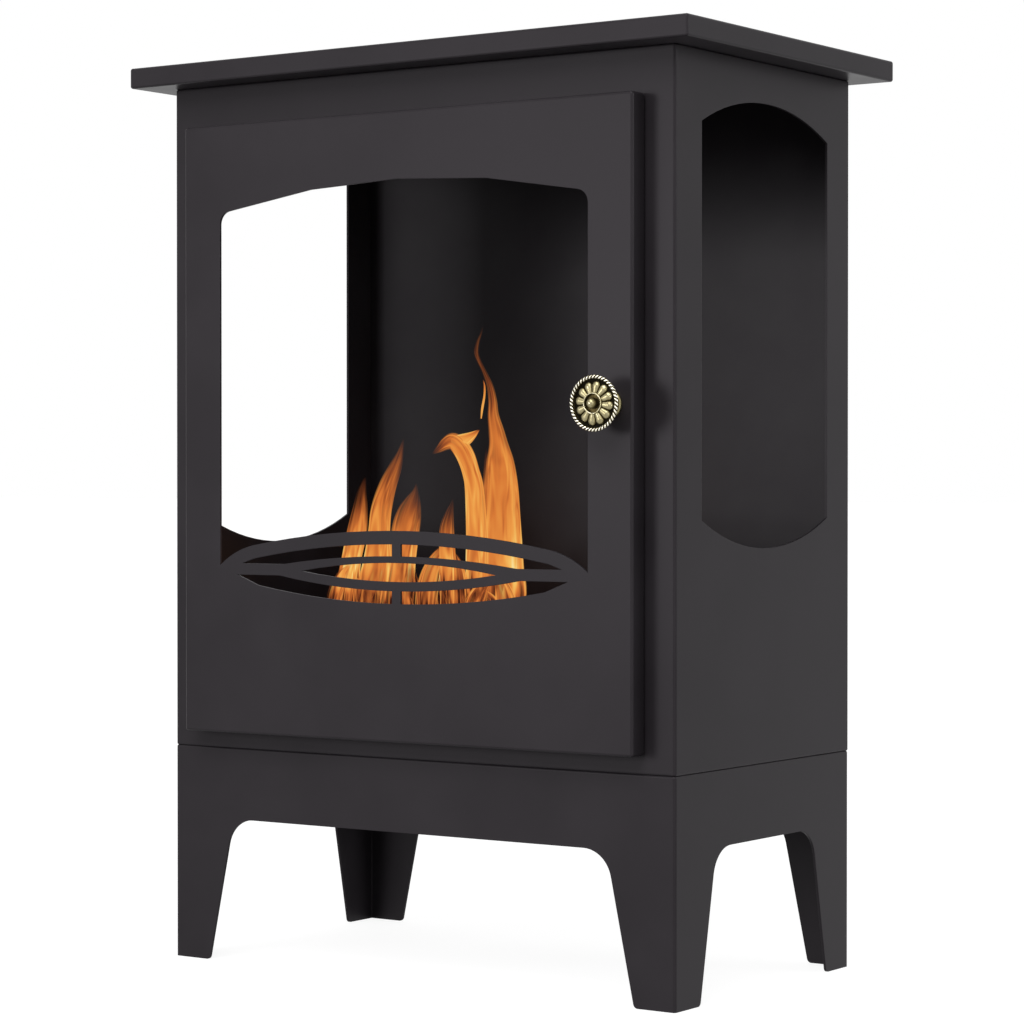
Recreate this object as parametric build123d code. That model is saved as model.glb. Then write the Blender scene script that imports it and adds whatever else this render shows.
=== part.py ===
from build123d import *
from math import atan2, degrees, pi, radians, sin, sqrt, tan
import os

# A free-standing bioethanol fireplace in the shape of a small wood stove, in millimetres.
# A folded sheet-steel cabinet stands on a skirt with four cut-out legs and carries a flat top.
# A hollow door with an arched window and a lens-shaped grille closes the front, the sides have
# an arched window each, and a burner box with a sliding snuffer lid stands inside.
#
# +Z is up, the door faces -Y and the hinges are at -X.
# Z = 0 is the floor, X = 0 the middle of the width, Y = 0 the middle of the overall depth.

# ---------------------------------------------------------------- sheet and fasteners
SHEET = 1.5                 # cabinet, door and skirt sheet
CORNER_BEND = 1.8           # outer radius of the cabinet's upright corners
EDGE_BEND = 1.1             # outer radius where a wall turns into a flange
FLANGE = 12.5               # width of the inward flanges, over the wall
FIT_GAP = 0.5               # room between sheets that slip into one another
SLIDE_GAP = 0.3             # room between pieces that move past each other

SCREW_R = 2.0               # M4 machine screw
SCREW_HEAD_R = 3.6
SCREW_HEAD_H = 2.4
SCREW_PLAY = 0.15           # radial, in a clearance hole
THREAD_PLAY = 0.05          # radial, in a tapped hole or a nut
SCREW_TAIL = 1.0            # screw standing out of its nut
NUT_FLATS = 7.0
NUT_H = 3.2

# ---------------------------------------------------------------- cabinet, skirt and top
BODY_WIDTH = 366.0
BODY_DEPTH = 200.8
BODY_HEIGHT = 408.4
BASE_HEIGHT = 132.0         # floor to the seam under the cabinet
SKIRT_HEIGHT = 43.8         # seam to the skirt's lower edge
TOP_OVERHANG = 20.0         # on all four sides
TOP_THICKNESS = 12.6
TOP_EDGE_BEND = 1.5
TOP_RETURN_GRIP = 12.0      # how far the top's underside flange reaches over the cabinet

LEG_FOOT = 27.2             # width of each leg flange at the floor
FRONT_LEG_SLANT = 12.0      # degrees off upright, seen from the front
SIDE_LEG_SLANT = 11.2       # degrees off upright, seen from the side
LEG_CROTCH_R = 19.0         # round between a leg and the skirt
FOOT_CORNER_R = 3.0

# ---------------------------------------------------------------- side windows
SIDE_WINDOW_FRONT = 28.1    # margin to the cabinet's front
SIDE_WINDOW_BACK = 27.1     # margin to the cabinet's back
SIDE_WINDOW_TOP = 24.0      # margin from the cabinet's top to the arch's crown
SIDE_WINDOW_BOTTOM = 125.5  # margin from the seam to the lowest point
SIDE_WINDOW_RISE = 16.4     # height of the arch over its springing points
SIDE_WINDOW_SAG = 17.0      # depth of the bowed sill

# ---------------------------------------------------------------- door
DOOR_SIDE_MARGIN = 19.5     # cabinet edge to door edge
DOOR_TOP_MARGIN = 26.4
DOOR_BOTTOM_MARGIN = 10.7
DOOR_DEPTH = 12.0
DOOR_GAP = 2.0              # cabinet front to the door's rear edge
DOOR_BEND = 1.6
DOOR_OVERLAP = 11.0         # how far the door covers the frame round the front opening

WINDOW_STILE = 29.0         # door edge to window edge
WINDOW_SHIFT = -0.7         # the cut-outs sit this far off the door's middle
WINDOW_TOP_RAIL = 40.1      # door top to the peak of the window's head
WINDOW_RISE = 13.8          # peak over the window's corners
WINDOW_KNEE_X = 64.3        # window's middle to where the head's straight runs change slope
WINDOW_KNEE_RISE = 10.8     # that knee over the window's corners
WINDOW_CORNER_R = 8.0

# The grille: heights are measured from its centre line, insets from the window's side.
GRILLE_HEIGHT = 100.45      # door bottom to the centre line
BAR_THICKNESS = 6.9         # the level bar
POST_WIDTH = 6.4            # the upright in the middle
BAND_CROWN = 24.35          # upper edge of the upper band
BAND_SHOULDER_INSET = 26.5
BAND_SHOULDER = 14.55
BAND_END = 2.05
UPPER_SLOT_CROWN = 16.35
UPPER_SLOT_SHOULDER = 6.45
UPPER_SLOT_TIP_INSET = 17.5
RING_CROWN = 9.35           # outline of the ring round the lens
RING_TOP_INSET = 49.5
RING_KEEL = -11.25
RING_KEEL_INSET = 46.5
LENS_TIP_INSET = 63.2
LENS_TIP = -0.45
LENS_CROWN = 5.45
LENS_KEEL = -5.75
LOWER_SLOT_TIP_INSET = 13.5
LOWER_SLOT_SHOULDER_INSET = 29.5
LOWER_SLOT_SHOULDER = -9.65
LOWER_SLOT_KEEL = -18.75

# ---------------------------------------------------------------- hinges
HINGE_INSET = 55.0          # door end to the middle of a hinge
HINGE_LENGTH = 40.0
HINGE_LEAF = 1.2
HINGE_LEAF_WIDTH = 10.0     # flat of each leaf beyond the barrel
BARREL_R = 3.0
HINGE_PIN_R = 1.5
PIN_PLAY = 0.05
PIN_HEAD_R = 2.4
PIN_HEAD_H = 1.0
RIVET_R = 1.5
RIVET_HEAD_R = 2.5
RIVET_HEAD_H = 0.9
HINGE_RIVET_PITCH = 24.0

# ---------------------------------------------------------------- magnetic catch
CATCH_DROP = 60.0           # below the knob
CATCH_LENGTH = 40.0
CATCH_WIDTH = 12.0
CATCH_EAR_T = 3.0
CATCH_SCREW_PITCH = 26.0
MAGNET_LENGTH = 28.0
MAGNET_WIDTH = 7.0
MAGNET_DEPTH = 8.0
MAGNET_PROUD = 0.5
STRIKE_T = 1.2
STRIKE_BORDER = 3.0         # strike plate round the magnet

# ---------------------------------------------------------------- knob
KNOB_HEIGHT = 197.3         # door bottom to the knob's axis
KNOB_R = 15.9
KNOB_RIM_STANDOFF = 16.4    # door face to the plane of the rim
KNOB_RIM_WIRE_R = 1.25
KNOB_COLLAR_R = 8.4
KNOB_COLLAR_H = 2.2
KNOB_NECK_R = 5.0
KNOB_NOSE = 5.0             # crown of the middle boss over the rim's plane
KNOB_BOSS_R = 3.0
KNOB_RING_R = 5.65          # raised ring round the boss
KNOB_RING_WIRE_R = 0.5
KNOB_RING_PROUD = 1.6       # ring's middle over the rim's plane
KNOB_PETALS = 12
KNOB_PETAL_END = 10.2       # knob's axis to the centre of a petal's round end
KNOB_PETAL_ROOT = 0.45      # petal's own axis over the rim's plane, at the ring
KNOB_PETAL_SINK = 1.4       # petal's own axis under the rim's plane, at the round end
KNOB_ROPE_TURNS = 40
KNOB_ROPE_LAY = 35.0        # degrees the rope's grooves lean
KNOB_ROPE_GROOVE_R = 0.45
KNOB_SCREW_DEPTH = 9.0
WASHER_R = 5.0
WASHER_T = 0.8

# ---------------------------------------------------------------- burner
BURNER_SIDE_ROOM = 24.0     # cabinet wall to the burner's end
BURNER_WIDTH = 90.0
BURNER_HEIGHT = 63.0
BURNER_BEHIND_FRONT = 105.0 # cabinet front to the burner's middle
BURNER_SHEET = 1.0
BURNER_CAP_SKIRT = 8.0
MOUTH_WIDTH = 40.0
WOOL_HEIGHT = 50.0
WOOL_ROOM = 0.6
RAIL_FOOT = 6.0
RAIL_LIP = 4.3
LID_THICKNESS = 1.2
LID_OVERLAP = 2.5           # lid past the mouth at each end
LID_SIDE_OVERLAP = 5.0
LID_PARK_CLEAR = 1.0        # parked lid clear of the mouth
LID_LEFT_MARGIN = 9.5       # burner end to the closed lid
GRIP_WIDTH = 16.0
GRIP_HEIGHT = 14.0
GRIP_CORNER_R = 4.0

CRADLE_RISE = 12.0          # floor plate to the shelf that carries the burner
CRADLE_LIP = 8.0
CRADLE_LIP_INSET = 6.0
CRADLE_STOP_WIDTH = 30.0
CRADLE_STOP_GAP = 2.0
CRADLE_FOOT = 11.0

# ---------------------------------------------------------------- places of the screws
SIDE_SCREW_INSET = 35.0     # from the cabinet's front and back
FRONT_SCREW_X = 100.0
BACK_SCREW_ROWS = 2
BACK_SCREW_END = 14.0       # first and last row to the cabinet's ends
BACK_LOW_SCREW_X = 80.0
BACK_PANEL_INSET = 1.0      # panel's lower edge over the seam
BACK_SCREW_LENGTH = 7.0

# ---------------------------------------------------------------- derived places
REACH = DOOR_GAP + DOOR_DEPTH + KNOB_RIM_STANDOFF + KNOB_NOSE
FRONT = (REACH - BODY_DEPTH - TOP_OVERHANG) / 2
BACK = FRONT + BODY_DEPTH
MIDDLE_Y = (FRONT + BACK) / 2
HALF = BODY_WIDTH / 2
SEAM = BASE_HEIGHT
CEILING = SEAM + BODY_HEIGHT
FLOOR_TOP = SEAM + 2 * SHEET
SCREW_LINE = (SHEET + FLANGE) / 2   # wall face to the screws in a flange

DOOR_HALF = HALF - DOOR_SIDE_MARGIN
DOOR_Z0 = SEAM + DOOR_BOTTOM_MARGIN
DOOR_Z1 = CEILING - DOOR_TOP_MARGIN
DOOR_REAR = FRONT - DOOR_GAP
DOOR_FACE = DOOR_REAR - DOOR_DEPTH
DOOR_LINING = DOOR_FACE + SHEET

WINDOW_HALF = DOOR_HALF - WINDOW_STILE
GRILLE_Z = DOOR_Z0 + GRILLE_HEIGHT
KNOB_X = DOOR_HALF - (DOOR_HALF - WINDOW_HALF - WINDOW_SHIFT) / 2
KNOB_Z = DOOR_Z0 + KNOB_HEIGHT

HINGE_X = -(DOOR_HALF + BARREL_R + SLIDE_GAP)
HINGE_Y = FRONT - BARREL_R - SLIDE_GAP
HINGE_CENTRES = (DOOR_Z0 + HINGE_INSET, DOOR_Z1 - HINGE_INSET)

BURNER_HALF = HALF - SHEET - BURNER_SIDE_ROOM
BURNER_Y = FRONT + BURNER_BEHIND_FRONT
BURNER_Z0 = FLOOR_TOP + CRADLE_RISE
BURNER_Z1 = BURNER_Z0 + BURNER_HEIGHT
LID_LENGTH = (2 * BURNER_HALF - LID_LEFT_MARGIN + LID_OVERLAP - LID_PARK_CLEAR) / 2
LID_CLOSED_X0 = -BURNER_HALF + LID_LEFT_MARGIN
LID_TRAVEL = LID_LENGTH - LID_OVERLAP + LID_PARK_CLEAR
MOUTH_X0 = LID_CLOSED_X0 + LID_OVERLAP
MOUTH_X1 = LID_CLOSED_X0 + LID_LENGTH - LID_OVERLAP
LID_HALF_WIDTH = MOUTH_WIDTH / 2 + LID_SIDE_OVERLAP


# ---------------------------------------------------------------- shared shapes
def block(x0, x1, y0, y1, z0, z1):
    """A box named by its six faces."""
    middle = Pos((x0 + x1) / 2, (y0 + y1) / 2, (z0 + z1) / 2)
    return middle * Box(x1 - x0, y1 - y0, z1 - z0)


def rod_z(x, y, z0, z1, radius):
    return Pos(x, y, (z0 + z1) / 2) * Cylinder(radius, z1 - z0)


def rod_y(x, z, y0, y1, radius):
    return Pos(x, (y0 + y1) / 2, z) * Rot(90, 0, 0) * Cylinder(radius, y1 - y0)


def rod_x(y, z, x0, x1, radius):
    return Pos((x0 + x1) / 2, y, z) * Rot(0, 90, 0) * Cylinder(radius, x1 - x0)


def through_y(outline, y0, y1):
    """A flat outline in X and Z, made solid from y0 to y1."""
    return Pos(0, y1, 0) * extrude(Plane.XZ * outline, y1 - y0)


def through_x(outline, x0, x1):
    """A flat outline in Y and Z, made solid from x0 to x1."""
    return Pos(x0, 0, 0) * extrude(Plane.YZ * outline, x1 - x0)


def rounded_uprights(shape, y_front, front_r, y_back, back_r):
    uprights = shape.edges().filter_by(Axis.Z)
    shape = fillet([e for e in uprights if abs(e.center().Y - y_front) < 0.01], front_r)
    uprights = shape.edges().filter_by(Axis.Z)
    return fillet([e for e in uprights if abs(e.center().Y - y_back) < 0.01], back_r)


def grouped(solids):
    """Separate like pieces that share one node."""
    return Compound(children=[solid.solid() for solid in solids])


# ---------------------------------------------------------------- skirt and cabinet
def leg_gap(half_width, slant):
    """The open space between two legs: slanted sides and rounded upper corners."""
    top = BASE_HEIGHT - SKIRT_HEIGHT
    foot = half_width - LEG_FOOT
    lean = tan(radians(slant))
    below = FOOT_CORNER_R
    outline = Polygon(
        (-foot - below * lean, -below),
        (foot + below * lean, -below),
        (foot - top * lean, top),
        (-foot + top * lean, top),
        align=None,
    )
    crotches = outline.vertices().sort_by(Axis.Y)[-2:]
    return fillet(crotches, LEG_CROTCH_R)


def base_skirt():
    skirt = block(-HALF, HALF, FRONT, BACK, 0, SEAM)
    skirt = rounded_uprights(skirt, FRONT, CORNER_BEND, BACK, CORNER_BEND)
    skirt = fillet(skirt.faces().sort_by(Axis.Z)[-1].edges(), EDGE_BEND)
    hollow = block(-HALF + SHEET, HALF - SHEET, FRONT + SHEET, BACK - SHEET, -1, SEAM - SHEET)
    hollow = fillet(hollow.edges().filter_by(Axis.Z), CORNER_BEND - SHEET)
    mouth = block(-HALF + FLANGE, HALF - FLANGE, FRONT + FLANGE, BACK - FLANGE, 0, SEAM + 1)
    skirt = skirt - hollow - mouth
    skirt -= through_y(leg_gap(HALF, FRONT_LEG_SLANT), FRONT - 1, BACK + 1)
    side_gap = Pos(MIDDLE_Y, 0) * leg_gap(BODY_DEPTH / 2, SIDE_LEG_SLANT)
    skirt -= through_x(side_gap, -HALF - 1, HALF + 1)
    floor_edges = skirt.edges().filter_by_position(Axis.Z, -0.01, 0.01).filter_by(GeomType.LINE)
    toes = [edge for edge in floor_edges if edge.length < 2 * SHEET]
    skirt = fillet(toes, FOOT_CORNER_R)
    for x, y in base_screw_places():
        skirt -= rod_z(x, y, SEAM - SHEET - 1, SEAM + 1, SCREW_R + SCREW_PLAY)
    return skirt


def side_window():
    """Arched head and bowed sill, in Y and Z."""
    y0 = FRONT + SIDE_WINDOW_FRONT
    y1 = BACK - SIDE_WINDOW_BACK
    mid = (y0 + y1) / 2
    crown = CEILING - SIDE_WINDOW_TOP
    keel = SEAM + SIDE_WINDOW_BOTTOM
    spring = crown - SIDE_WINDOW_RISE
    sill = keel + SIDE_WINDOW_SAG
    return make_face([
        Line((y0, sill), (y0, spring)),
        ThreePointArc((y0, spring), (mid, crown), (y1, spring)),
        Line((y1, spring), (y1, sill)),
        ThreePointArc((y1, sill), (mid, keel), (y0, sill)),
    ])


def body_wrap():
    """Front and both sides folded from one sheet, with inward flanges all round."""
    wrap = block(-HALF, HALF, FRONT, BACK, SEAM, CEILING)
    wrap = rounded_uprights(wrap, FRONT, CORNER_BEND, BACK, EDGE_BEND)
    wrap = fillet(wrap.faces().sort_by(Axis.Z)[-1].edges(), EDGE_BEND)
    wrap = fillet(wrap.faces().sort_by(Axis.Z)[0].edges(), EDGE_BEND)
    wrap -= block(-HALF + SHEET, HALF - SHEET, FRONT + SHEET, BACK - SHEET, SEAM + SHEET, CEILING - SHEET)
    wrap -= block(-HALF + FLANGE, HALF - FLANGE, FRONT + FLANGE, BACK + 1, SEAM - 1, CEILING + 1)
    opening_half = DOOR_HALF - DOOR_OVERLAP
    opening_z0 = DOOR_Z0 + DOOR_OVERLAP
    opening_z1 = DOOR_Z1 - DOOR_OVERLAP
    wrap -= block(-opening_half, opening_half, FRONT - 1, FRONT + SHEET + 1, opening_z0, opening_z1)
    wrap -= through_x(side_window(), -HALF - 1, HALF + 1)
    for x, y in base_screw_places():
        wrap -= rod_z(x, y, SEAM - 1, SEAM + SHEET + 1, SCREW_R + SCREW_PLAY)
    for x, y in top_screw_places()[:-1]:
        wrap -= rod_z(x, y, CEILING - SHEET - 1, CEILING + 1, SCREW_R + SCREW_PLAY)
    for x, z in back_edge_screw_places():
        wrap -= rod_y(x, z, BACK - SHEET - 1, BACK + 1, SCREW_R + SCREW_PLAY)
    for z in hinge_rivet_heights():
        wrap -= rod_y(hinge_rivet_x(), z, FRONT - 1, FRONT + SHEET + 1, RIVET_R)
    for z in catch_rivet_heights():
        wrap -= rod_y(catch_rivet_x(), z, FRONT - 1, FRONT + SHEET + 1, RIVET_R)
    return wrap


def floor_plate():
    """Lies on the cabinet's lower flanges, with an upstand behind that the back is screwed to."""
    half = HALF - SHEET - FIT_GAP
    stand_half = HALF - FLANGE - FIT_GAP
    stand_rear = BACK - 2 * SHEET
    stand_front = stand_rear - SHEET
    z0 = SEAM + SHEET
    plate = block(-half, half, FRONT + SHEET + FIT_GAP, stand_front - FIT_GAP, z0, FLOOR_TOP)
    plate += block(-stand_half, stand_half, stand_front - SHEET, stand_rear, z0, FLOOR_TOP)
    plate += block(-stand_half, stand_half, stand_front, stand_rear, z0, z0 + FLANGE)
    for x, y in base_screw_places():
        plate -= rod_z(x, y, z0 - 1, FLOOR_TOP + 1, SCREW_R + SCREW_PLAY)
    for x, y in cradle_screw_places():
        plate -= rod_z(x, y, z0 - 1, FLOOR_TOP + 1, SCREW_R + SCREW_PLAY)
    for x, z in back_low_screw_places():
        plate -= rod_y(x, z, stand_front - 1, BACK, SCREW_R + THREAD_PLAY)
    return plate


def back_panel():
    """Lies inside the cabinet's rear flanges, narrower at both ends to pass the side flanges."""
    front = BACK - 2 * SHEET
    rear = BACK - SHEET
    half = HALF - SHEET - FIT_GAP
    narrow = HALF - FLANGE - FIT_GAP
    panel = block(-half, half, front, rear, SEAM + SHEET + FIT_GAP, CEILING - SHEET - FIT_GAP)
    panel += block(-narrow, narrow, front, rear, SEAM + BACK_PANEL_INSET, CEILING)
    panel += block(-narrow, narrow, BACK - FLANGE, rear, CEILING - SHEET, CEILING)
    x, y = top_screw_places()[-1]
    panel -= rod_z(x, y, CEILING - SHEET - 1, CEILING + 1, SCREW_R + SCREW_PLAY)
    for x, z in back_edge_screw_places():
        panel -= rod_y(x, z, front - 1, rear + 1, SCREW_R + THREAD_PLAY)
    for x, z in back_low_screw_places():
        panel -= rod_y(x, z, front - 1, rear + 1, SCREW_R + SCREW_PLAY)
    return panel


def top_plate():
    """A folded tray turned upside down, with a return flange all round its underside."""
    x1 = HALF + TOP_OVERHANG
    y0 = FRONT - TOP_OVERHANG
    y1 = BACK + TOP_OVERHANG
    z1 = CEILING + TOP_THICKNESS
    grip = TOP_OVERHANG + TOP_RETURN_GRIP
    tray = block(-x1, x1, y0, y1, CEILING, z1)
    tray = fillet(tray.edges(), TOP_EDGE_BEND)
    tray -= block(-x1 + SHEET, x1 - SHEET, y0 + SHEET, y1 - SHEET, CEILING + SHEET, z1 - SHEET)
    tray -= block(-x1 + grip, x1 - grip, y0 + grip, y1 - grip, CEILING - 1, CEILING + SHEET + 1)
    for x, y in top_screw_places():
        tray -= rod_z(x, y, CEILING - 1, CEILING + SHEET + 1, SCREW_R + SCREW_PLAY)
    return tray


# ---------------------------------------------------------------- door
def window_outline():
    """The window: a shallow arch of four straight cuts above, the grille's curved band below."""
    peak = DOOR_Z1 - WINDOW_TOP_RAIL
    corner = peak - WINDOW_RISE
    knee = corner + WINDOW_KNEE_RISE
    end = GRILLE_Z + BAND_END
    shoulder_x = WINDOW_HALF - BAND_SHOULDER_INSET
    shoulder = GRILLE_Z + BAND_SHOULDER
    fall = BAND_CROWN - BAND_SHOULDER
    band_r = (shoulder_x ** 2 + fall ** 2) / (2 * fall)
    slope = shoulder_x / sqrt(band_r ** 2 - shoulder_x ** 2)
    outline = make_face([
        Polyline((-WINDOW_HALF, end), (-WINDOW_HALF, corner), (-WINDOW_KNEE_X, knee), (0, peak)),
        Polyline((0, peak), (WINDOW_KNEE_X, knee), (WINDOW_HALF, corner), (WINDOW_HALF, end)),
        TangentArc((shoulder_x, shoulder), (WINDOW_HALF, end), tangent=(1, -slope)),
        ThreePointArc((shoulder_x, shoulder), (0, GRILLE_Z + BAND_CROWN), (-shoulder_x, shoulder)),
        TangentArc((-shoulder_x, shoulder), (-WINDOW_HALF, end), tangent=(-1, -slope)),
    ])
    corners = [vertex for vertex in outline.vertices() if abs(vertex.Y - corner) < 0.01]
    return fillet(corners, WINDOW_CORNER_R)


def arch_height(x, half_chord, crown, spring):
    """Height at x of the arc through (-half_chord, spring), (0, crown) and (half_chord, spring)."""
    rise = crown - spring
    radius = (half_chord ** 2 + rise ** 2) / (2 * rise)
    drop = abs(radius) - sqrt(radius ** 2 - x ** 2)
    return crown - drop if rise > 0 else crown + drop


def arch_span(x0, x1, half_chord, crown, spring):
    """The stretch of that arc from x0 to x1."""
    ends = [(x, GRILLE_Z + arch_height(x, half_chord, crown, spring)) for x in (x0, (x0 + x1) / 2, x1)]
    return ThreePointArc(*ends)


def upper_slot():
    """Right-hand slot between the upper band and the ring."""
    post = POST_WIDTH / 2
    bar = BAR_THICKNESS / 2
    shoulder_x = WINDOW_HALF - BAND_SHOULDER_INSET
    tip_x = WINDOW_HALF - UPPER_SLOT_TIP_INSET
    ring_x = WINDOW_HALF - RING_TOP_INSET
    head = arch_span(post, shoulder_x, shoulder_x, UPPER_SLOT_CROWN, UPPER_SLOT_SHOULDER)
    ring = arch_span(post, ring_x, ring_x, RING_CROWN, bar)
    tip = (tip_x, GRILLE_Z + bar)
    return make_face([
        head,
        Line(head @ 1, tip),
        Line(tip, ring @ 1),
        ring,
        Line(ring @ 0, head @ 0),
    ])


def lower_slot():
    """Right-hand slot between the ring and the door's lower panel."""
    post = POST_WIDTH / 2
    bar = -BAR_THICKNESS / 2
    shoulder_x = WINDOW_HALF - LOWER_SLOT_SHOULDER_INSET
    tip_x = WINDOW_HALF - LOWER_SLOT_TIP_INSET
    ring_x = WINDOW_HALF - RING_KEEL_INSET
    sill = arch_span(post, shoulder_x, shoulder_x, LOWER_SLOT_KEEL, LOWER_SLOT_SHOULDER)
    ring = arch_span(post, ring_x, ring_x, RING_KEEL, bar)
    tip = (tip_x, GRILLE_Z + bar)
    return make_face([
        ring,
        Line(ring @ 1, tip),
        Line(tip, sill @ 1),
        sill,
        Line(sill @ 0, ring @ 0),
    ])


def lens_hole():
    half = WINDOW_HALF - LENS_TIP_INSET
    return make_face([
        arch_span(-half, half, half, LENS_CROWN, LENS_TIP),
        arch_span(-half, half, half, LENS_KEEL, LENS_TIP),
    ])


def door_panel():
    """A shallow tray, open behind, with the window and the grille cut out of its face."""
    door = block(-DOOR_HALF, DOOR_HALF, DOOR_FACE, DOOR_REAR, DOOR_Z0, DOOR_Z1)
    door = fillet(door.edges().filter_by(Axis.Y) + door.faces().sort_by(Axis.Y)[0].edges(), DOOR_BEND)
    door -= block(
        -DOOR_HALF + SHEET, DOOR_HALF - SHEET,
        DOOR_LINING, DOOR_REAR + 1,
        DOOR_Z0 + SHEET, DOOR_Z1 - SHEET,
    )
    slots = [upper_slot(), lower_slot()]
    slots += [mirror(slot, Plane.YZ) for slot in slots]
    for outline in [window_outline(), lens_hole()] + slots:
        door -= Pos(WINDOW_SHIFT, 0, 0) * through_y(outline, DOOR_FACE - 1, DOOR_LINING + 1)
    door -= rod_y(KNOB_X, KNOB_Z, DOOR_FACE - 1, DOOR_LINING + 1, SCREW_R + SCREW_PLAY)
    for z in hinge_rivet_heights():
        door -= rod_x(hinge_rivet_y(), z, -DOOR_HALF - 1, -DOOR_HALF + SHEET + 1, RIVET_R)
    return door


# ---------------------------------------------------------------- hinges
def hinge_rivet_heights():
    return [z + side * HINGE_RIVET_PITCH / 2 for z in HINGE_CENTRES for side in (-1, 1)]


def hinge_rivet_x():
    """Where the frame leaf is riveted: the middle of its flat."""
    return HINGE_X + BARREL_R + SLIDE_GAP + HINGE_LEAF_WIDTH / 2


def hinge_rivet_y():
    """Where the door leaf is riveted: behind the door's face, clear of the barrel."""
    return HINGE_Y - BARREL_R - SLIDE_GAP - RIVET_HEAD_R


def knuckle_spans(centre):
    """Bottom and top of the three knuckles, a running gap apart."""
    third = HINGE_LENGTH / 3
    z0 = centre - HINGE_LENGTH / 2
    return [(z0 + i * third + SLIDE_GAP / 2, z0 + (i + 1) * third - SLIDE_GAP / 2) for i in range(3)]


def knuckle(span):
    return rod_z(HINGE_X, HINGE_Y, span[0], span[1], BARREL_R)


def hinge_bore(centre):
    z0 = centre - HINGE_LENGTH
    return rod_z(HINGE_X, HINGE_Y, z0, z0 + 2 * HINGE_LENGTH, HINGE_PIN_R + PIN_PLAY)


def frame_leaf(centre):
    """Flat on the cabinet's front, in the gap behind the door, with the two outer knuckles."""
    flat_x0 = HINGE_X + BARREL_R + SLIDE_GAP
    z0 = centre - HINGE_LENGTH / 2
    leaf = block(flat_x0, flat_x0 + HINGE_LEAF_WIDTH, FRONT - HINGE_LEAF, FRONT, z0, z0 + HINGE_LENGTH)
    for span in knuckle_spans(centre)[::2]:
        leaf += knuckle(span)
        leaf += block(HINGE_X, flat_x0, FRONT - HINGE_LEAF, FRONT, *span)
    leaf -= hinge_bore(centre)
    for z in (centre - HINGE_RIVET_PITCH / 2, centre + HINGE_RIVET_PITCH / 2):
        leaf -= frame_rivet(z)
    return leaf


def door_leaf(centre):
    """Flat on the outside of the door's edge, with the middle knuckle."""
    leaf_x0 = -DOOR_HALF - HINGE_LEAF
    leaf_y1 = HINGE_Y - BARREL_R - SLIDE_GAP
    leaf_y0 = max(DOOR_FACE + DOOR_BEND, leaf_y1 - 2 * RIVET_HEAD_R - SLIDE_GAP)
    z0 = centre - HINGE_LENGTH / 2
    leaf = block(leaf_x0, -DOOR_HALF, leaf_y0, leaf_y1, z0, z0 + HINGE_LENGTH)
    span = knuckle_spans(centre)[1]
    leaf += knuckle(span)
    leaf += block(leaf_x0, -DOOR_HALF, leaf_y1, HINGE_Y, *span)
    leaf -= hinge_bore(centre)
    for z in (centre - HINGE_RIVET_PITCH / 2, centre + HINGE_RIVET_PITCH / 2):
        leaf -= rod_x(hinge_rivet_y(), z, leaf_x0 - 1, -DOOR_HALF + 1, RIVET_R)
    return leaf


def hinge_pin(centre):
    top = centre + HINGE_LENGTH / 2
    pin = rod_z(HINGE_X, HINGE_Y, centre - HINGE_LENGTH / 2, top, HINGE_PIN_R)
    return pin + rod_z(HINGE_X, HINGE_Y, top, top + PIN_HEAD_H, PIN_HEAD_R)


def frame_rivet(z):
    """Countersunk flush in the leaf, set over inside the cabinet."""
    x = hinge_rivet_x()
    inside = FRONT + SHEET
    rivet = rod_y(x, z, FRONT - HINGE_LEAF, inside, RIVET_R)
    sink = Cone(RIVET_R, RIVET_HEAD_R, HINGE_LEAF)
    rivet += Pos(x, FRONT - HINGE_LEAF / 2, z) * Rot(90, 0, 0) * sink
    return rivet + rod_y(x, z, inside, inside + RIVET_HEAD_H, RIVET_HEAD_R)


def door_rivet(z):
    y = hinge_rivet_y()
    outside = -DOOR_HALF - HINGE_LEAF
    inside = -DOOR_HALF + SHEET
    rivet = rod_x(y, z, outside, inside, RIVET_R)
    rivet += rod_x(y, z, outside - RIVET_HEAD_H, outside, RIVET_HEAD_R)
    return rivet + rod_x(y, z, inside, inside + RIVET_HEAD_H, RIVET_HEAD_R)


# ---------------------------------------------------------------- magnetic catch
CATCH_Z = KNOB_Z - CATCH_DROP
CATCH_X1 = DOOR_HALF - DOOR_OVERLAP - FIT_GAP
CATCH_X0 = CATCH_X1 - CATCH_WIDTH
MAGNET_FACE = DOOR_LINING + STRIKE_T + SLIDE_GAP


def catch_rivet_x():
    return (CATCH_X1 + FIT_GAP + DOOR_HALF) / 2


def catch_rivet_heights():
    return [CATCH_Z - CATCH_SCREW_PITCH / 2, CATCH_Z + CATCH_SCREW_PITCH / 2]


def catch_magnet():
    x = (CATCH_X0 + CATCH_X1) / 2
    return block(
        x - MAGNET_WIDTH / 2, x + MAGNET_WIDTH / 2,
        MAGNET_FACE, MAGNET_FACE + MAGNET_DEPTH,
        CATCH_Z - MAGNET_LENGTH / 2, CATCH_Z + MAGNET_LENGTH / 2,
    )


def catch_housing():
    """Reaches through the front opening, with an ear behind the frame for two rivets."""
    z0 = CATCH_Z - CATCH_LENGTH / 2
    z1 = CATCH_Z + CATCH_LENGTH / 2
    ear_y0 = FRONT + SHEET
    ear_y1 = ear_y0 + CATCH_EAR_T
    ear_x1 = 2 * catch_rivet_x() - CATCH_X1
    housing = block(CATCH_X0, CATCH_X1, MAGNET_FACE + MAGNET_PROUD, ear_y1, z0, z1)
    housing = fillet(housing.edges().filter_by(Axis.Y), SHEET)
    housing += block(CATCH_X1 - SHEET, ear_x1, ear_y0, ear_y1, z0 + SHEET, z1 - SHEET)
    housing -= catch_magnet()
    for z in catch_rivet_heights():
        housing -= rod_y(catch_rivet_x(), z, ear_y0 - 1, ear_y1 + 1, RIVET_R)
    return housing


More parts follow.
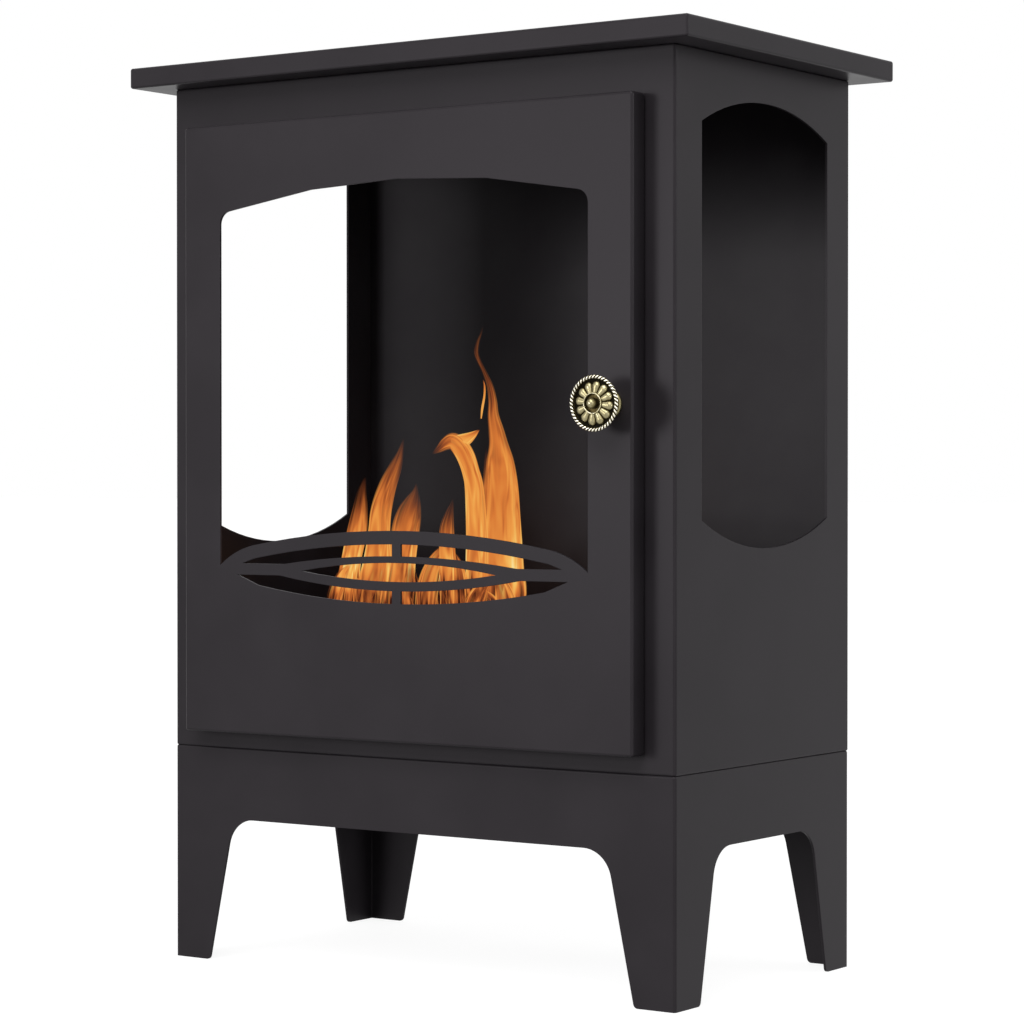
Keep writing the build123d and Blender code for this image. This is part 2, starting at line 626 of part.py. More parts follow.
def catch_rivet(z):
    """Flat head in the gap behind the door, set over behind the housing's ear."""
    x = catch_rivet_x()
    inside = FRONT + SHEET + CATCH_EAR_T
    rivet = rod_y(x, z, FRONT, inside, RIVET_R)
    rivet += rod_y(x, z, FRONT - RIVET_HEAD_H, FRONT, RIVET_HEAD_R)
    return rivet + rod_y(x, z, inside, inside + RIVET_HEAD_H, RIVET_HEAD_R)


def strike_plate():
    """Steel plate on the inside of the door's face, opposite the magnet."""
    x = (CATCH_X0 + CATCH_X1) / 2
    half_width = MAGNET_WIDTH / 2 + STRIKE_BORDER
    half_length = MAGNET_LENGTH / 2 + STRIKE_BORDER
    plate = block(
        x - half_width, x + half_width,
        DOOR_LINING, DOOR_LINING + STRIKE_T,
        CATCH_Z - half_length, CATCH_Z + half_length,
    )
    return fillet(plate.edges().filter_by(Axis.Y), STRIKE_BORDER / 2)


# ---------------------------------------------------------------- knob
def knob_profile():
    """Half section of stem and dish: distance from the axis, then distance from the door's face."""
    edge = KNOB_R - KNOB_RIM_WIRE_R
    back = KNOB_RIM_STANDOFF - KNOB_RIM_WIRE_R / 2
    dish = KNOB_RIM_STANDOFF
    ring = dish + KNOB_RING_PROUD
    waist = (KNOB_COLLAR_H + back) / 2.4
    return make_face([
        Line((0, 0), (KNOB_COLLAR_R, 0)),
        Line((KNOB_COLLAR_R, 0), (KNOB_COLLAR_R, KNOB_COLLAR_H)),
        ThreePointArc((KNOB_COLLAR_R, KNOB_COLLAR_H), (KNOB_NECK_R, waist), (edge, back)),
        Line((edge, back), (edge, dish)),
        Line((edge, dish), (KNOB_PETAL_END, dish)),
        Line((KNOB_PETAL_END, dish), (KNOB_RING_R, ring)),
        Line((KNOB_RING_R, ring), (KNOB_RING_R, dish)),
        Line((KNOB_RING_R, dish), (0, dish)),
        Line((0, dish), (0, 0)),
    ])


def rose_petal():
    """Half-sunk teardrop that falls outward: a cone that widens to a round outer end."""
    tip_r = KNOB_PETAL_END * sin(pi / KNOB_PETALS)
    root_r = KNOB_RING_R * sin(pi / KNOB_PETALS)
    reach = KNOB_PETAL_END - KNOB_RING_R
    fall = KNOB_PETAL_ROOT + KNOB_PETAL_SINK
    length = sqrt(reach ** 2 + fall ** 2)
    leaf = Pos(length / 2, 0, 0) * Rot(0, 90, 0) * Cone(root_r, tip_r, length)
    leaf += Pos(length, 0, 0) * Sphere(tip_r)
    return Pos(KNOB_RING_R, 0, KNOB_PETAL_ROOT) * Rot(0, degrees(atan2(fall, reach)), 0) * leaf


def door_knob():
    """A cast rose: petals round a ringed boss, inside a roped rim, on a waisted stem."""
    knob = revolve(Plane.XZ * knob_profile(), Axis.Z)
    rim = Pos(0, 0, KNOB_RIM_STANDOFF) * Torus(KNOB_R - KNOB_RIM_WIRE_R, KNOB_RIM_WIRE_R)
    groove = Rot(KNOB_ROPE_LAY, 0, 0) * Cylinder(KNOB_ROPE_GROOVE_R, 4 * KNOB_RIM_WIRE_R)
    rim -= Pos(0, 0, KNOB_RIM_STANDOFF) * PolarLocations(KNOB_R, KNOB_ROPE_TURNS) * groove
    petals = Pos(0, 0, KNOB_RIM_STANDOFF) * PolarLocations(0, KNOB_PETALS) * rose_petal()
    ring = Pos(0, 0, KNOB_RIM_STANDOFF + KNOB_RING_PROUD) * Torus(KNOB_RING_R, KNOB_RING_WIRE_R)
    boss_z = KNOB_RIM_STANDOFF + KNOB_NOSE - KNOB_BOSS_R
    boss = Pos(0, 0, boss_z) * Sphere(KNOB_BOSS_R) + rod_z(0, 0, KNOB_RIM_STANDOFF, boss_z, KNOB_BOSS_R)
    knob = knob + petals + rim + ring + boss
    knob -= rod_z(0, 0, -1, KNOB_SCREW_DEPTH, SCREW_R + THREAD_PLAY)
    return Pos(KNOB_X, DOOR_FACE, KNOB_Z) * Rot(90, 0, 0) * knob


def knob_washer():
    ring = rod_y(KNOB_X, KNOB_Z, DOOR_LINING, DOOR_LINING + WASHER_T, WASHER_R)
    return ring - rod_y(KNOB_X, KNOB_Z, DOOR_LINING - 1, DOOR_LINING + WASHER_T + 1, SCREW_R + SCREW_PLAY)


def knob_screw():
    seat = DOOR_LINING + WASHER_T
    screw = rod_y(KNOB_X, KNOB_Z, DOOR_FACE - KNOB_SCREW_DEPTH + SCREW_TAIL, seat, SCREW_R)
    return screw + rod_y(KNOB_X, KNOB_Z, seat, seat + SCREW_HEAD_H, SCREW_HEAD_R)


# ---------------------------------------------------------------- burner
def burner_box():
    half_width = BURNER_WIDTH / 2
    z1 = BURNER_Z1 - BURNER_SHEET
    y0 = BURNER_Y - half_width
    y1 = BURNER_Y + half_width
    wall = BURNER_SHEET
    box = block(-BURNER_HALF, BURNER_HALF, y0, y1, BURNER_Z0, z1)
    box -= block(-BURNER_HALF + wall, BURNER_HALF - wall, y0 + wall, y1 - wall, BURNER_Z0 + wall, z1 + 1)
    return box


def burner_cap():
    """Lid with a turned-down edge, welded over the box, with the mouth the flames stand in."""
    wall = BURNER_SHEET
    x1 = BURNER_HALF + wall
    y0 = BURNER_Y - BURNER_WIDTH / 2 - wall
    y1 = BURNER_Y + BURNER_WIDTH / 2 + wall
    half_mouth = MOUTH_WIDTH / 2
    cap = block(-x1, x1, y0, y1, BURNER_Z1 - BURNER_CAP_SKIRT, BURNER_Z1)
    cap -= block(
        -x1 + wall, x1 - wall,
        y0 + wall, y1 - wall,
        BURNER_Z1 - BURNER_CAP_SKIRT - 1, BURNER_Z1 - wall,
    )
    cap -= block(
        MOUTH_X0, MOUTH_X1,
        BURNER_Y - half_mouth, BURNER_Y + half_mouth,
        BURNER_Z1 - wall - 1, BURNER_Z1 + 1,
    )
    return cap


def wool_pad():
    """Ceramic wool that soaks up the fuel."""
    half_x = BURNER_HALF - BURNER_SHEET - WOOL_ROOM
    half_y = BURNER_WIDTH / 2 - BURNER_SHEET - WOOL_ROOM
    z0 = BURNER_Z0 + BURNER_SHEET
    return block(-half_x, half_x, BURNER_Y - half_y, BURNER_Y + half_y, z0, z0 + WOOL_HEIGHT)


def lid_rail(side):
    """Folded guide along one edge of the lid, closed at both ends as a stop."""
    sheet = BURNER_SHEET
    inner = LID_HALF_WIDTH + SLIDE_GAP
    lip_z0 = BURNER_Z1 + LID_THICKNESS + 2 * SLIDE_GAP
    x0 = LID_CLOSED_X0 - SLIDE_GAP - sheet
    x1 = LID_CLOSED_X0 + LID_TRAVEL + LID_LENGTH + SLIDE_GAP + sheet
    x1 = min(x1, BURNER_HALF + sheet)
    foot_y1 = inner + RAIL_FOOT
    lip_y0 = inner + sheet - RAIL_LIP
    rail = block(x0, x1, inner, foot_y1, 0, sheet)
    rail += block(x0, x1, inner, inner + sheet, 0, lip_z0 - BURNER_Z1 + sheet)
    rail += block(x0, x1, lip_y0, inner + sheet, lip_z0 - BURNER_Z1, lip_z0 - BURNER_Z1 + sheet)
    rail += block(x0, x0 + sheet, lip_y0, inner + sheet, 0, lip_z0 - BURNER_Z1 + sheet)
    if side < 0:
        rail = mirror(rail, Plane.XZ)
    return Pos(0, BURNER_Y, BURNER_Z1) * rail


def snuffer_lid():
    """Flat lid parked beside the mouth, with its outer end turned up as a grip."""
    x0 = LID_CLOSED_X0 + LID_TRAVEL
    x1 = x0 + LID_LENGTH
    z0 = BURNER_Z1 + SLIDE_GAP
    z1 = z0 + LID_THICKNESS
    lid = block(x0, x1, BURNER_Y - LID_HALF_WIDTH, BURNER_Y + LID_HALF_WIDTH, z0, z1)
    grip = block(
        x1 - LID_THICKNESS, x1,
        BURNER_Y - GRIP_WIDTH / 2, BURNER_Y + GRIP_WIDTH / 2,
        z0, z0 + GRIP_HEIGHT,
    )
    grip_corners = grip.edges().filter_by(Axis.X).sort_by(Axis.Z)[-2:]
    return lid + fillet(grip_corners, GRIP_CORNER_R)


def burner_cradle():
    """Folded shelf on the cabinet's floor: legs and feet at the corners, lips round the burner."""
    half_x = BURNER_HALF + FIT_GAP
    half_y = BURNER_WIDTH / 2 + FIT_GAP
    stop = CRADLE_STOP_WIDTH / 2
    leg = stop + CRADLE_STOP_GAP
    lip_x = BURNER_HALF - CRADLE_LIP_INSET
    shelf_z0 = BURNER_Z0 - SHEET
    shelf = block(-half_x, half_x, -half_y, half_y, shelf_z0, BURNER_Z0)
    for side in (-1, 1):
        near, far = sorted((side * half_y, side * (half_y + SHEET)))
        shelf += block(-lip_x, lip_x, near, far, shelf_z0, BURNER_Z0 + CRADLE_LIP)
        near, far = sorted((side * half_x, side * (half_x + SHEET)))
        shelf += block(near, far, -stop, stop, shelf_z0, BURNER_Z0 + CRADLE_LIP)
        inner, outer = sorted((side * half_x, side * (half_x + CRADLE_FOOT)))
        for end in (-1, 1):
            y0, y1 = sorted((end * leg, end * half_y))
            shelf += block(near, far, y0, y1, FLOOR_TOP, BURNER_Z0)
            shelf += block(inner, outer, y0, y1, FLOOR_TOP, FLOOR_TOP + SHEET)
    shelf = Pos(0, BURNER_Y, 0) * shelf
    for x, y in cradle_screw_places():
        shelf -= rod_z(x, y, FLOOR_TOP - 1, FLOOR_TOP + SHEET + 1, SCREW_R + SCREW_PLAY)
    return shelf


# ---------------------------------------------------------------- screws and nuts
def side_flange_places():
    x = HALF - SCREW_LINE
    return [(side * x, y) for side in (-1, 1) for y in (FRONT + SIDE_SCREW_INSET, BACK - SIDE_SCREW_INSET)]


def base_screw_places():
    return side_flange_places() + [(x, FRONT + SCREW_LINE) for x in (-FRONT_SCREW_X, FRONT_SCREW_X)]


def top_screw_places():
    """Four in the side flanges, one in front, and last the one in the back panel's flange."""
    return side_flange_places() + [(0, FRONT + SCREW_LINE), (0, BACK - SCREW_LINE)]


def cradle_screw_places():
    x = BURNER_HALF + FIT_GAP + (CRADLE_FOOT + SHEET) / 2
    leg = CRADLE_STOP_WIDTH / 2 + CRADLE_STOP_GAP
    y = (leg + BURNER_WIDTH / 2 + FIT_GAP) / 2
    return [(sx * x, BURNER_Y + sy * y) for sx in (-1, 1) for sy in (-1, 1)]


def back_edge_screw_places():
    x = HALF - SCREW_LINE
    z0 = SEAM + BACK_SCREW_END
    pitch = (BODY_HEIGHT - 2 * BACK_SCREW_END) / (BACK_SCREW_ROWS - 1)
    return [(side * x, z0 + row * pitch) for side in (-1, 1) for row in range(BACK_SCREW_ROWS)]


def back_low_screw_places():
    z = SEAM + SHEET + FLANGE / 2 + SHEET / 2
    return [(-BACK_LOW_SCREW_X, z), (BACK_LOW_SCREW_X, z)]


def nut(x, y, z0):
    hexagon = RegularPolygon(NUT_FLATS / sqrt(3), 6)
    body = extrude(hexagon, NUT_H) - Pos(0, 0, NUT_H / 2) * Cylinder(SCREW_R + THREAD_PLAY, 2 * NUT_H)
    return Pos(x, y, z0) * body


def upward_screw(x, y, seat, grip):
    """Head below the sheets at seat, shank up through them and a nut."""
    screw = rod_z(x, y, seat, seat + grip + NUT_H + SCREW_TAIL, SCREW_R)
    return screw + rod_z(x, y, seat - SCREW_HEAD_H, seat, SCREW_HEAD_R)


def downward_screw(x, y, seat, grip):
    screw = rod_z(x, y, seat - grip - NUT_H - SCREW_TAIL, seat, SCREW_R)
    return screw + rod_z(x, y, seat, seat + SCREW_HEAD_H, SCREW_HEAD_R)


def back_screw(x, z, seat):
    screw = rod_y(x, z, seat - BACK_SCREW_LENGTH, seat, SCREW_R)
    return screw + rod_y(x, z, seat, seat + SCREW_HEAD_H, SCREW_HEAD_R)


def back_screws():
    """Those at the edges hold the cabinet's flanges to the panel, the low ones the floor plate."""
    edge = [back_screw(x, z, BACK) for x, z in back_edge_screw_places()]
    low = [back_screw(x, z, BACK - SHEET) for x, z in back_low_screw_places()]
    return grouped(edge + low)


# ---------------------------------------------------------------- all nodes
NODES = {
    "base_skirt": base_skirt(),
    "body_wrap": body_wrap(),
    "floor_plate": floor_plate(),
    "back_panel": back_panel(),
    "top_plate": top_plate(),
    "top_screws": grouped(upward_screw(x, y, CEILING - SHEET, 2 * SHEET) for x, y in top_screw_places()),
    "top_nuts": grouped(nut(x, y, CEILING + SHEET) for x, y in top_screw_places()),
    "base_screws": grouped(downward_screw(x, y, FLOOR_TOP, 3 * SHEET) for x, y in base_screw_places()),
    "base_nuts": grouped(nut(x, y, SEAM - SHEET - NUT_H) for x, y in base_screw_places()),
    "back_screws": back_screws(),
    "hinge_frame_leaves": grouped(frame_leaf(z) for z in HINGE_CENTRES),
    "hinge_pins": grouped(hinge_pin(z) for z in HINGE_CENTRES),
    "hinge_frame_rivets": grouped(frame_rivet(z) for z in hinge_rivet_heights()),
    "catch_housing": catch_housing(),
    "catch_magnet": catch_magnet(),
    "catch_rivets": grouped(catch_rivet(z) for z in catch_rivet_heights()),
    "burner_cradle": burner_cradle(),
    "cradle_screws": grouped(
        downward_screw(x, y, FLOOR_TOP + SHEET, 2 * SHEET) for x, y in cradle_screw_places()
    ),
    "cradle_nuts": grouped(nut(x, y, FLOOR_TOP - SHEET - NUT_H) for x, y in cradle_screw_places()),
    "door_panel": door_panel(),
    "hinge_door_leaves": grouped(door_leaf(z) for z in HINGE_CENTRES),
    "hinge_door_rivets": grouped(door_rivet(z) for z in hinge_rivet_heights()),
    "strike_plate": strike_plate(),
    "door_knob": door_knob(),
    "knob_washer": knob_washer(),
    "knob_screw": knob_screw(),
    "burner_box": burner_box(),
    "burner_cap": burner_cap(),
    "wool_pad": wool_pad(),
    "lid_rails": grouped(lid_rail(side) for side in (-1, 1)),
    "snuffer_lid": snuffer_lid(),
}

os.makedirs("parts", exist_ok=True)
for name, shape in NODES.items():
    export_step(shape, f"parts/{name}.step")
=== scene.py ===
# %% [markdown]
# # A small bioethanol fireplace
# The object is a cabinet of folded black sheet steel on a skirt with four legs. A door with an
# arched window and a lens-shaped grille closes its front, and a burner box stands inside.
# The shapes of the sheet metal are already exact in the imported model, so this lesson keeps them
# and gives them finishes. It models what a plain solid can't show: the cast knob, the
# threads and recesses of the screws, the fibre wool in the burner, and the flames.

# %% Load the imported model
import bpy
import bmesh
import random
from math import ceil, cos, pi, radians, sin, sqrt, tan
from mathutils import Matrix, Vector, noise


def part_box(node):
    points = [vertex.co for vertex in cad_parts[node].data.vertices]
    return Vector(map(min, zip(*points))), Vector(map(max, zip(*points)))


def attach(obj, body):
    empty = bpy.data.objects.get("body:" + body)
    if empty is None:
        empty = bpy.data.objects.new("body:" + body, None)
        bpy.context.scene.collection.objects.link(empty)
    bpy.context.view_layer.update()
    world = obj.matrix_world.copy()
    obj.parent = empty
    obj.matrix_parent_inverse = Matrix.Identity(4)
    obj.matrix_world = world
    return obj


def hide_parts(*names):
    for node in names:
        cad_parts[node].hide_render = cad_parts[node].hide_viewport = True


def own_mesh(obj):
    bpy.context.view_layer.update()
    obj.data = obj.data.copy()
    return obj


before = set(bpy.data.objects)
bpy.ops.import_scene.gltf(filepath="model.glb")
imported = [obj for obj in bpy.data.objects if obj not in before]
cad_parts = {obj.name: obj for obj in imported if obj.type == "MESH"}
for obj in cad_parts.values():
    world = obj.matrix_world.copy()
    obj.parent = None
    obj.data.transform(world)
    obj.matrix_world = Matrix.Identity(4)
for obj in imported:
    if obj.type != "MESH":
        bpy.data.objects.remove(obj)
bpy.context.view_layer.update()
MM = 0.001

# %% [markdown]
# The camera stands where the photographer's did: to the right of the door, about half-way up the
# object, and almost level. Its place and focal length were solved from the cabinet's corners.

# %% Place the camera
camera = bpy.data.objects.new("photo_camera", bpy.data.cameras.new("photo_camera"))
camera.location = (1.08302, -1.55078, 0.29913)
camera.rotation_euler = (radians(89.3469), 0, radians(34.7285))
camera.data.lens = 108.076
camera.data.sensor_width = 36
camera.data.clip_end = 50
bpy.context.scene.collection.objects.link(camera)
bpy.context.scene.camera = camera
bpy.context.scene.view_settings.view_transform = "Standard"
print("camera distance:", round(Vector(camera.location).length, 2), "m")

# %% [markdown]
# Shader sockets take linear colours, while a listed colour is an sRGB hex value. One function
# turns one into the other, and one small function adds a node with its settings and links, so a
# material reads as a list of what feeds what.

# %% Colours and nodes
def linear(hex_colour):
    """An sRGB hex colour as the linear RGBA of a shader socket."""
    shares = [int(hex_colour[i:i + 2], 16) / 255 for i in (1, 3, 5)]
    return [s / 12.92 if s <= 0.04045 else ((s + 0.055) / 1.055) ** 2.4 for s in shares] + [1.0]


def add(owner, kind, settings=None, links=None, **attributes):
    """Add a node: attributes on the node itself, settings on its inputs, links from other nodes."""
    made = owner.node_tree.nodes.new("ShaderNode" + kind)
    for name, value in attributes.items():
        setattr(made, name, value)
    for socket, value in (settings or {}).items():
        made.inputs[socket].default_value = value
    feed(owner, made, links or {})
    return made


def feed(owner, node, links):
    """Link other nodes to the sockets of a node. A whole node stands for its first output."""
    for socket, source in links.items():
        source = source.outputs[0] if isinstance(source, bpy.types.Node) else source
        owner.node_tree.links.new(source, node.inputs[socket])


def start_finish(name, colour, metallic, roughness, settings=None):
    """A material with its principled shader set to plain values."""
    material = bpy.data.materials.new(name)
    material.use_nodes = True
    shader = material.node_tree.nodes["Principled BSDF"]
    plain = {"Base Color": linear(colour), "Metallic": metallic, "Roughness": roughness}
    for socket, value in {**plain, **(settings or {})}.items():
        shader.inputs[socket].default_value = value
    return material, shader


def colour_steps(ramp, steps):
    """Set a colour ramp to (position, hex colour) pairs."""
    elements = ramp.color_ramp.elements
    while len(elements) < len(steps):
        elements.new(0.5)
    for element, (position, colour) in zip(elements, steps):
        element.position = position
        element.color = linear(colour)


print("mid grey #808080 is linear", [round(c, 3) for c in linear("#808080")])

# %% [markdown]
# The photograph was taken on plain white. Here a wide floor carries the object and keeps its soft
# shadow, and the world is white to the camera and to reflections. The world's light on the object
# itself is kept low, so that the lamps can shape it. The floor is a mid grey with a white glow that
# only camera and mirror rays see, so it looks like paper and throws little light up at the object.

# %% Floor and world
WORLD_FILL = 0.4  # the world's light on things, where 1 is how white it looks
FLOOR_GLOW = 0.9
FLOOR_HALF = 30  # metres, so that no view finds its end


def white_to_the_eye(owner):
    """1 for camera, mirror and see-through rays, and 0 for the light that falls on things."""
    rays = add(owner, "LightPath").outputs
    seen = rays["Is Camera Ray"]
    for kind in ("Is Glossy Ray", "Is Transmission Ray"):
        seen = add(owner, "Math", links={0: seen, 1: rays[kind]}, operation="MAXIMUM")
    return seen


world = bpy.data.worlds.new("white_studio")
bpy.context.scene.world = world
world.use_nodes = True
strength = add(world, "MapRange", {"To Min": WORLD_FILL, "To Max": 1.0},
               {"Value": white_to_the_eye(world)})
sky = world.node_tree.nodes["Background"]
sky.inputs["Color"].default_value = (1, 1, 1, 1)
feed(world, sky, {"Strength": strength})

floor_mesh = bpy.data.meshes.new("studio_floor")
shape = bmesh.new()
bmesh.ops.create_grid(shape, x_segments=8, y_segments=8, size=FLOOR_HALF)
shape.to_mesh(floor_mesh)
shape.free()
floor = bpy.data.objects.new("studio_floor", floor_mesh)
bpy.context.scene.collection.objects.link(floor)

paper, shader = start_finish("studio_paper", "#6A6A6A", 0.0, 0.9, {"Emission Color": (1, 1, 1, 1)})
lift = add(paper, "Math", {1: FLOOR_GLOW}, {0: white_to_the_eye(paper)}, operation="MULTIPLY")
feed(paper, shader, {"Emission Strength": lift})
floor_mesh.materials.append(paper)
print("floor:", floor.dimensions[:])

# %% [markdown]
# Five soft lamps light the cabinet. The key softbox and the top softbox hang high in front: they
# light the door and leave the band under the top plate in shadow. The low panel at the left throws
# the knob's shadow to the right, as in the photograph. The side softbox stands so far back that the
# cabinet's corner shades the door's right edge, which is nearly black in the photograph. The small
# strip shows mostly as a light line in the upright bends, which would look dark without it.

# %% Lamps
AIM_HEIGHT = 0.3  # the cabinet's middle


def softbox(name, azimuth, elevation, distance, side, power):
    """A square lamp that looks at the cabinet's middle. Azimuth 0 is straight in front."""
    lamp = bpy.data.objects.new(name, bpy.data.lights.new(name, "AREA"))
    level = cos(radians(elevation)) * distance
    lamp.location = (
        sin(radians(azimuth)) * level,
        -cos(radians(azimuth)) * level,
        AIM_HEIGHT + sin(radians(elevation)) * distance,
    )
    aim = Vector((0, 0, AIM_HEIGHT)) - lamp.location
    lamp.rotation_euler = aim.to_track_quat("-Z", "Y").to_euler()
    lamp.data.size = side
    lamp.data.energy = power
    bpy.context.scene.collection.objects.link(lamp)


# Azimuth and elevation in degrees, distance and side in metres, power in watts.
LAMPS = {
    "key_softbox": (18, 40, 2.8, 1.5, 42),
    "top_softbox": (-8, 60, 2.6, 1.2, 20),
    "left_panel": (-24, 5, 2.4, 0.7, 13.5),
    "edge_strip": (55, 4, 2.8, 0.6, 9),
    "side_softbox": (112, 15, 2.8, 1.0, 18),
}
for name, values in LAMPS.items():
    softbox(name, *values)
print("lamps:", sum(lamp[-1] for lamp in LAMPS.values()), "W in all")

# %% [markdown]
# ## Powder-coated steel
# Nearly all of the fireplace is steel sheet under a satin black powder coat. The powder melts in an
# oven, so it is thick, even, and faintly dimpled like orange peel. It thins over cut edges, where it
# looks a little paler, and the paler tone there is also a painted highlight for the light lines that
# edges catch. The colour could be one flat value, but then broad panels look like plastic film, so
# slow noise shifts the tone and the gloss slightly. A bevel node rounds the edges for the light, and
# where its normal leaves the true one there is an edge, so the paler tone, thin coat and painted
# highlight in one, goes there.

# %% Powder-coated steel
PEEL = 2.5 * MM  # distance between dimples of the coat
CLOUD = 70 * MM  # slow changes across a panel
EDGE_ROUND = 0.5 * MM  # coat and burr round over a cut edge
FILM_TINT = linear("#FFFAFF")  # black paint mirrors a trace of violet

powder, shader = start_finish("powder_coated_steel", "#262326", 0.0, 0.38,
                              {"Specular IOR Level": 0.11, "Specular Tint": FILM_TINT})
place = add(powder, "TexCoord").outputs["Object"]
clouds = add(powder, "TexNoise", {"Scale": 1 / CLOUD, "Detail": 3.0}, {"Vector": place})
tone = add(powder, "ValToRGB", links={"Fac": clouds})
colour_steps(tone, [(0.35, "#242124"), (0.65, "#292629")])
rounded = add(powder, "Bevel", {"Radius": EDGE_ROUND}, samples=6)
true_side = add(powder, "NewGeometry").outputs["Normal"]
agreement = add(powder, "VectorMath", links={0: rounded, 1: true_side}, operation="DOT_PRODUCT")
# paler edge tone: thinner coat over the edge, and a painted highlight along it
edge_wear_and_highlight = add(powder, "MapRange", {"From Min": 0.97, "From Max": 0.75, "To Max": 0.6},
              {"Value": agreement.outputs["Value"]})
coat = add(powder, "Mix", {7: linear("#3A373A")}, {0: edge_wear_and_highlight, 6: tone}, data_type="RGBA")
gloss = add(powder, "MapRange", {"From Min": 0.3, "From Max": 0.7, "To Min": 0.35, "To Max": 0.41},
            {"Value": clouds})
peel = add(powder, "TexNoise", {"Scale": 1 / PEEL, "Detail": 1.0}, {"Vector": place})
dimples = add(powder, "Bump", {"Strength": 0.06, "Distance": 0.1 * MM},
              {"Height": peel, "Normal": rounded})
feed(powder, shader, {"Base Color": coat.outputs[2], "Roughness": gloss, "Normal": dimples})
print("powder coat: dimples", PEEL / MM, "mm apart")

# %% [markdown]
# ## Heat-proof paint inside
# The panel behind the fire, the floor plate and the burner's cradle are sprayed with heat-proof
# paint. Its tone is set a touch darker than the powder coat, and that darkness is painted shade for
# the inside of the cabinet. Its film is satin: seen at a slant, the panel faintly mirrors the bright
# left window. So the photograph shows a dark strip beside the window, then a lit field behind the
# flames. Fine noise gives the paint the dry grain of a spray can.

# %% Heat-proof paint
DUST = 45 * MM  # slow changes of the sprayed film
GRIT = 0.5 * MM  # dry grain of the spray

# the darker tone of this paint is painted shade for the inside of the cabinet
shaded_heat_paint, shader = start_finish("heat_proof_paint_darkened_as_shade", "#1F1C1F", 0.0, 0.35,
                                  {"Specular IOR Level": 0.1, "Specular Tint": FILM_TINT})
place = add(shaded_heat_paint, "TexCoord").outputs["Object"]
dust = add(shaded_heat_paint, "TexNoise", {"Scale": 1 / DUST, "Detail": 4.0}, {"Vector": place})
shaded_veil = add(shaded_heat_paint, "ValToRGB", links={"Fac": dust})
colour_steps(shaded_veil, [(0.35, "#1C191C"), (0.65, "#222022")])
grit = add(shaded_heat_paint, "TexNoise", {"Scale": 1 / GRIT, "Detail": 2.0}, {"Vector": place})
spray = add(shaded_heat_paint, "Bump", {"Strength": 0.15, "Distance": 0.04 * MM}, {"Height": grit})
feed(shaded_heat_paint, shader, {"Base Color": shaded_veil, "Normal": spray})
print("heat-proof paint: grain", GRIT / MM, "mm apart")

# %% [markdown]
# ## Stainless steel with heat tint
# The burner is bent from brushed stainless sheet. The brush leaves fine lines along the sheet, so
# noise is stretched far along X and packed tight across it. Beside the mouth the flames have
# coloured the steel: bronze at the edge, then straw, then a trace of violet and blue further out.
# The tint is a ramp over the distance to the mouth's edge, worked out from the mouth's real place.

# %% Distance to the burner's mouth
burner_low, burner_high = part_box("burner_box")
MOUTH_START, MOUTH_LONG, MOUTH_DEEP = 12 * MM, 148.5 * MM, 40 * MM
mouth_middle_x = burner_low.x + MOUTH_START + MOUTH_LONG / 2
mouth_middle_y = (burner_low.y + burner_high.y) / 2
TINT_REACH = 22 * MM
TINT_PATCH, TINT_WANDER = 18 * MM, 9 * MM  # how long and how deep the tint's border wavers

stainless, shader = start_finish("brushed_stainless_steel", "#C4C1BB", 1.0, 0.34)
place = add(stainless, "TexCoord").outputs["Object"]
split = add(stainless, "SeparateXYZ", links={0: place}).outputs
outside = []
for axis, middle, size in ((0, mouth_middle_x, MOUTH_LONG), (1, mouth_middle_y, MOUTH_DEEP)):
    off = add(stainless, "Math", {1: middle}, {0: split[axis]}, operation="SUBTRACT")
    off = add(stainless, "Math", links={0: off}, operation="ABSOLUTE")
    off = add(stainless, "Math", {1: size / 2}, {0: off}, operation="SUBTRACT")
    outside.append(off)
reach = add(stainless, "Math", links={0: outside[0], 1: outside[1]}, operation="MAXIMUM")
wander = add(stainless, "TexNoise", {"Scale": 1 / TINT_PATCH, "Detail": 2.0}, {"Vector": place})
wander = add(stainless, "Math", {1: TINT_WANDER, 2: -TINT_WANDER / 2}, {0: wander},
             operation="MULTIPLY_ADD")
reach = add(stainless, "Math", links={0: reach, 1: wander}, operation="ADD")
reach = add(stainless, "MapRange", {"From Max": TINT_REACH}, {"Value": reach})
print("heat tint reaches", round(TINT_REACH / MM), "mm from the mouth")

# %% Brushed stainless steel
BRUSH = 0.35 * MM  # between brush lines, drawn coarser than real so that they show
STROKE = 40 * MM  # how far one line runs

tint = add(stainless, "ValToRGB", links={"Fac": reach})
colour_steps(tint, [(0.0, "#8C6A3E"), (0.22, "#B08D52"), (0.45, "#8F7A8C"), (0.62, "#8C96A8"),
                    (1.0, "#C4C1BB")])
stretch = add(stainless, "Mapping", {"Scale": (1 / STROKE, 1 / BRUSH, 1 / BRUSH)}, {"Vector": place})
lines = add(stainless, "TexNoise", {"Scale": 1.0, "Detail": 2.0}, {"Vector": stretch})
brushed = add(stainless, "Bump", {"Strength": 0.12, "Distance": 0.05 * MM}, {"Height": lines})
sheen = add(stainless, "MapRange", {"To Min": 0.26, "To Max": 0.42}, {"Value": lines})
feed(stainless, shader, {"Base Color": tint, "Roughness": sheen, "Normal": brushed})
print("stainless steel: brush lines", round(BRUSH / MM, 2), "mm apart")

# %% [markdown]
# ## Zinc-plated steel
# The screws and nuts that hold the sheets together, the knob's washer and the strike plate are
# bright zinc over mild steel. Hinges, rivets and the back panel's screws are black like the sheets
# they hold, so they take the powder coat. Passivating leaves a faint yellow and blue cast that
# changes over a few millimetres, and barrel plating leaves fine knocks.

# %% Zinc-plated steel
CAST_CHANGE = 3 * MM  # how fast the yellow and blue cast changes
KNOCK = 0.6 * MM  # between knocks of the plating barrel
WORN_EDGE = 0.2 * MM

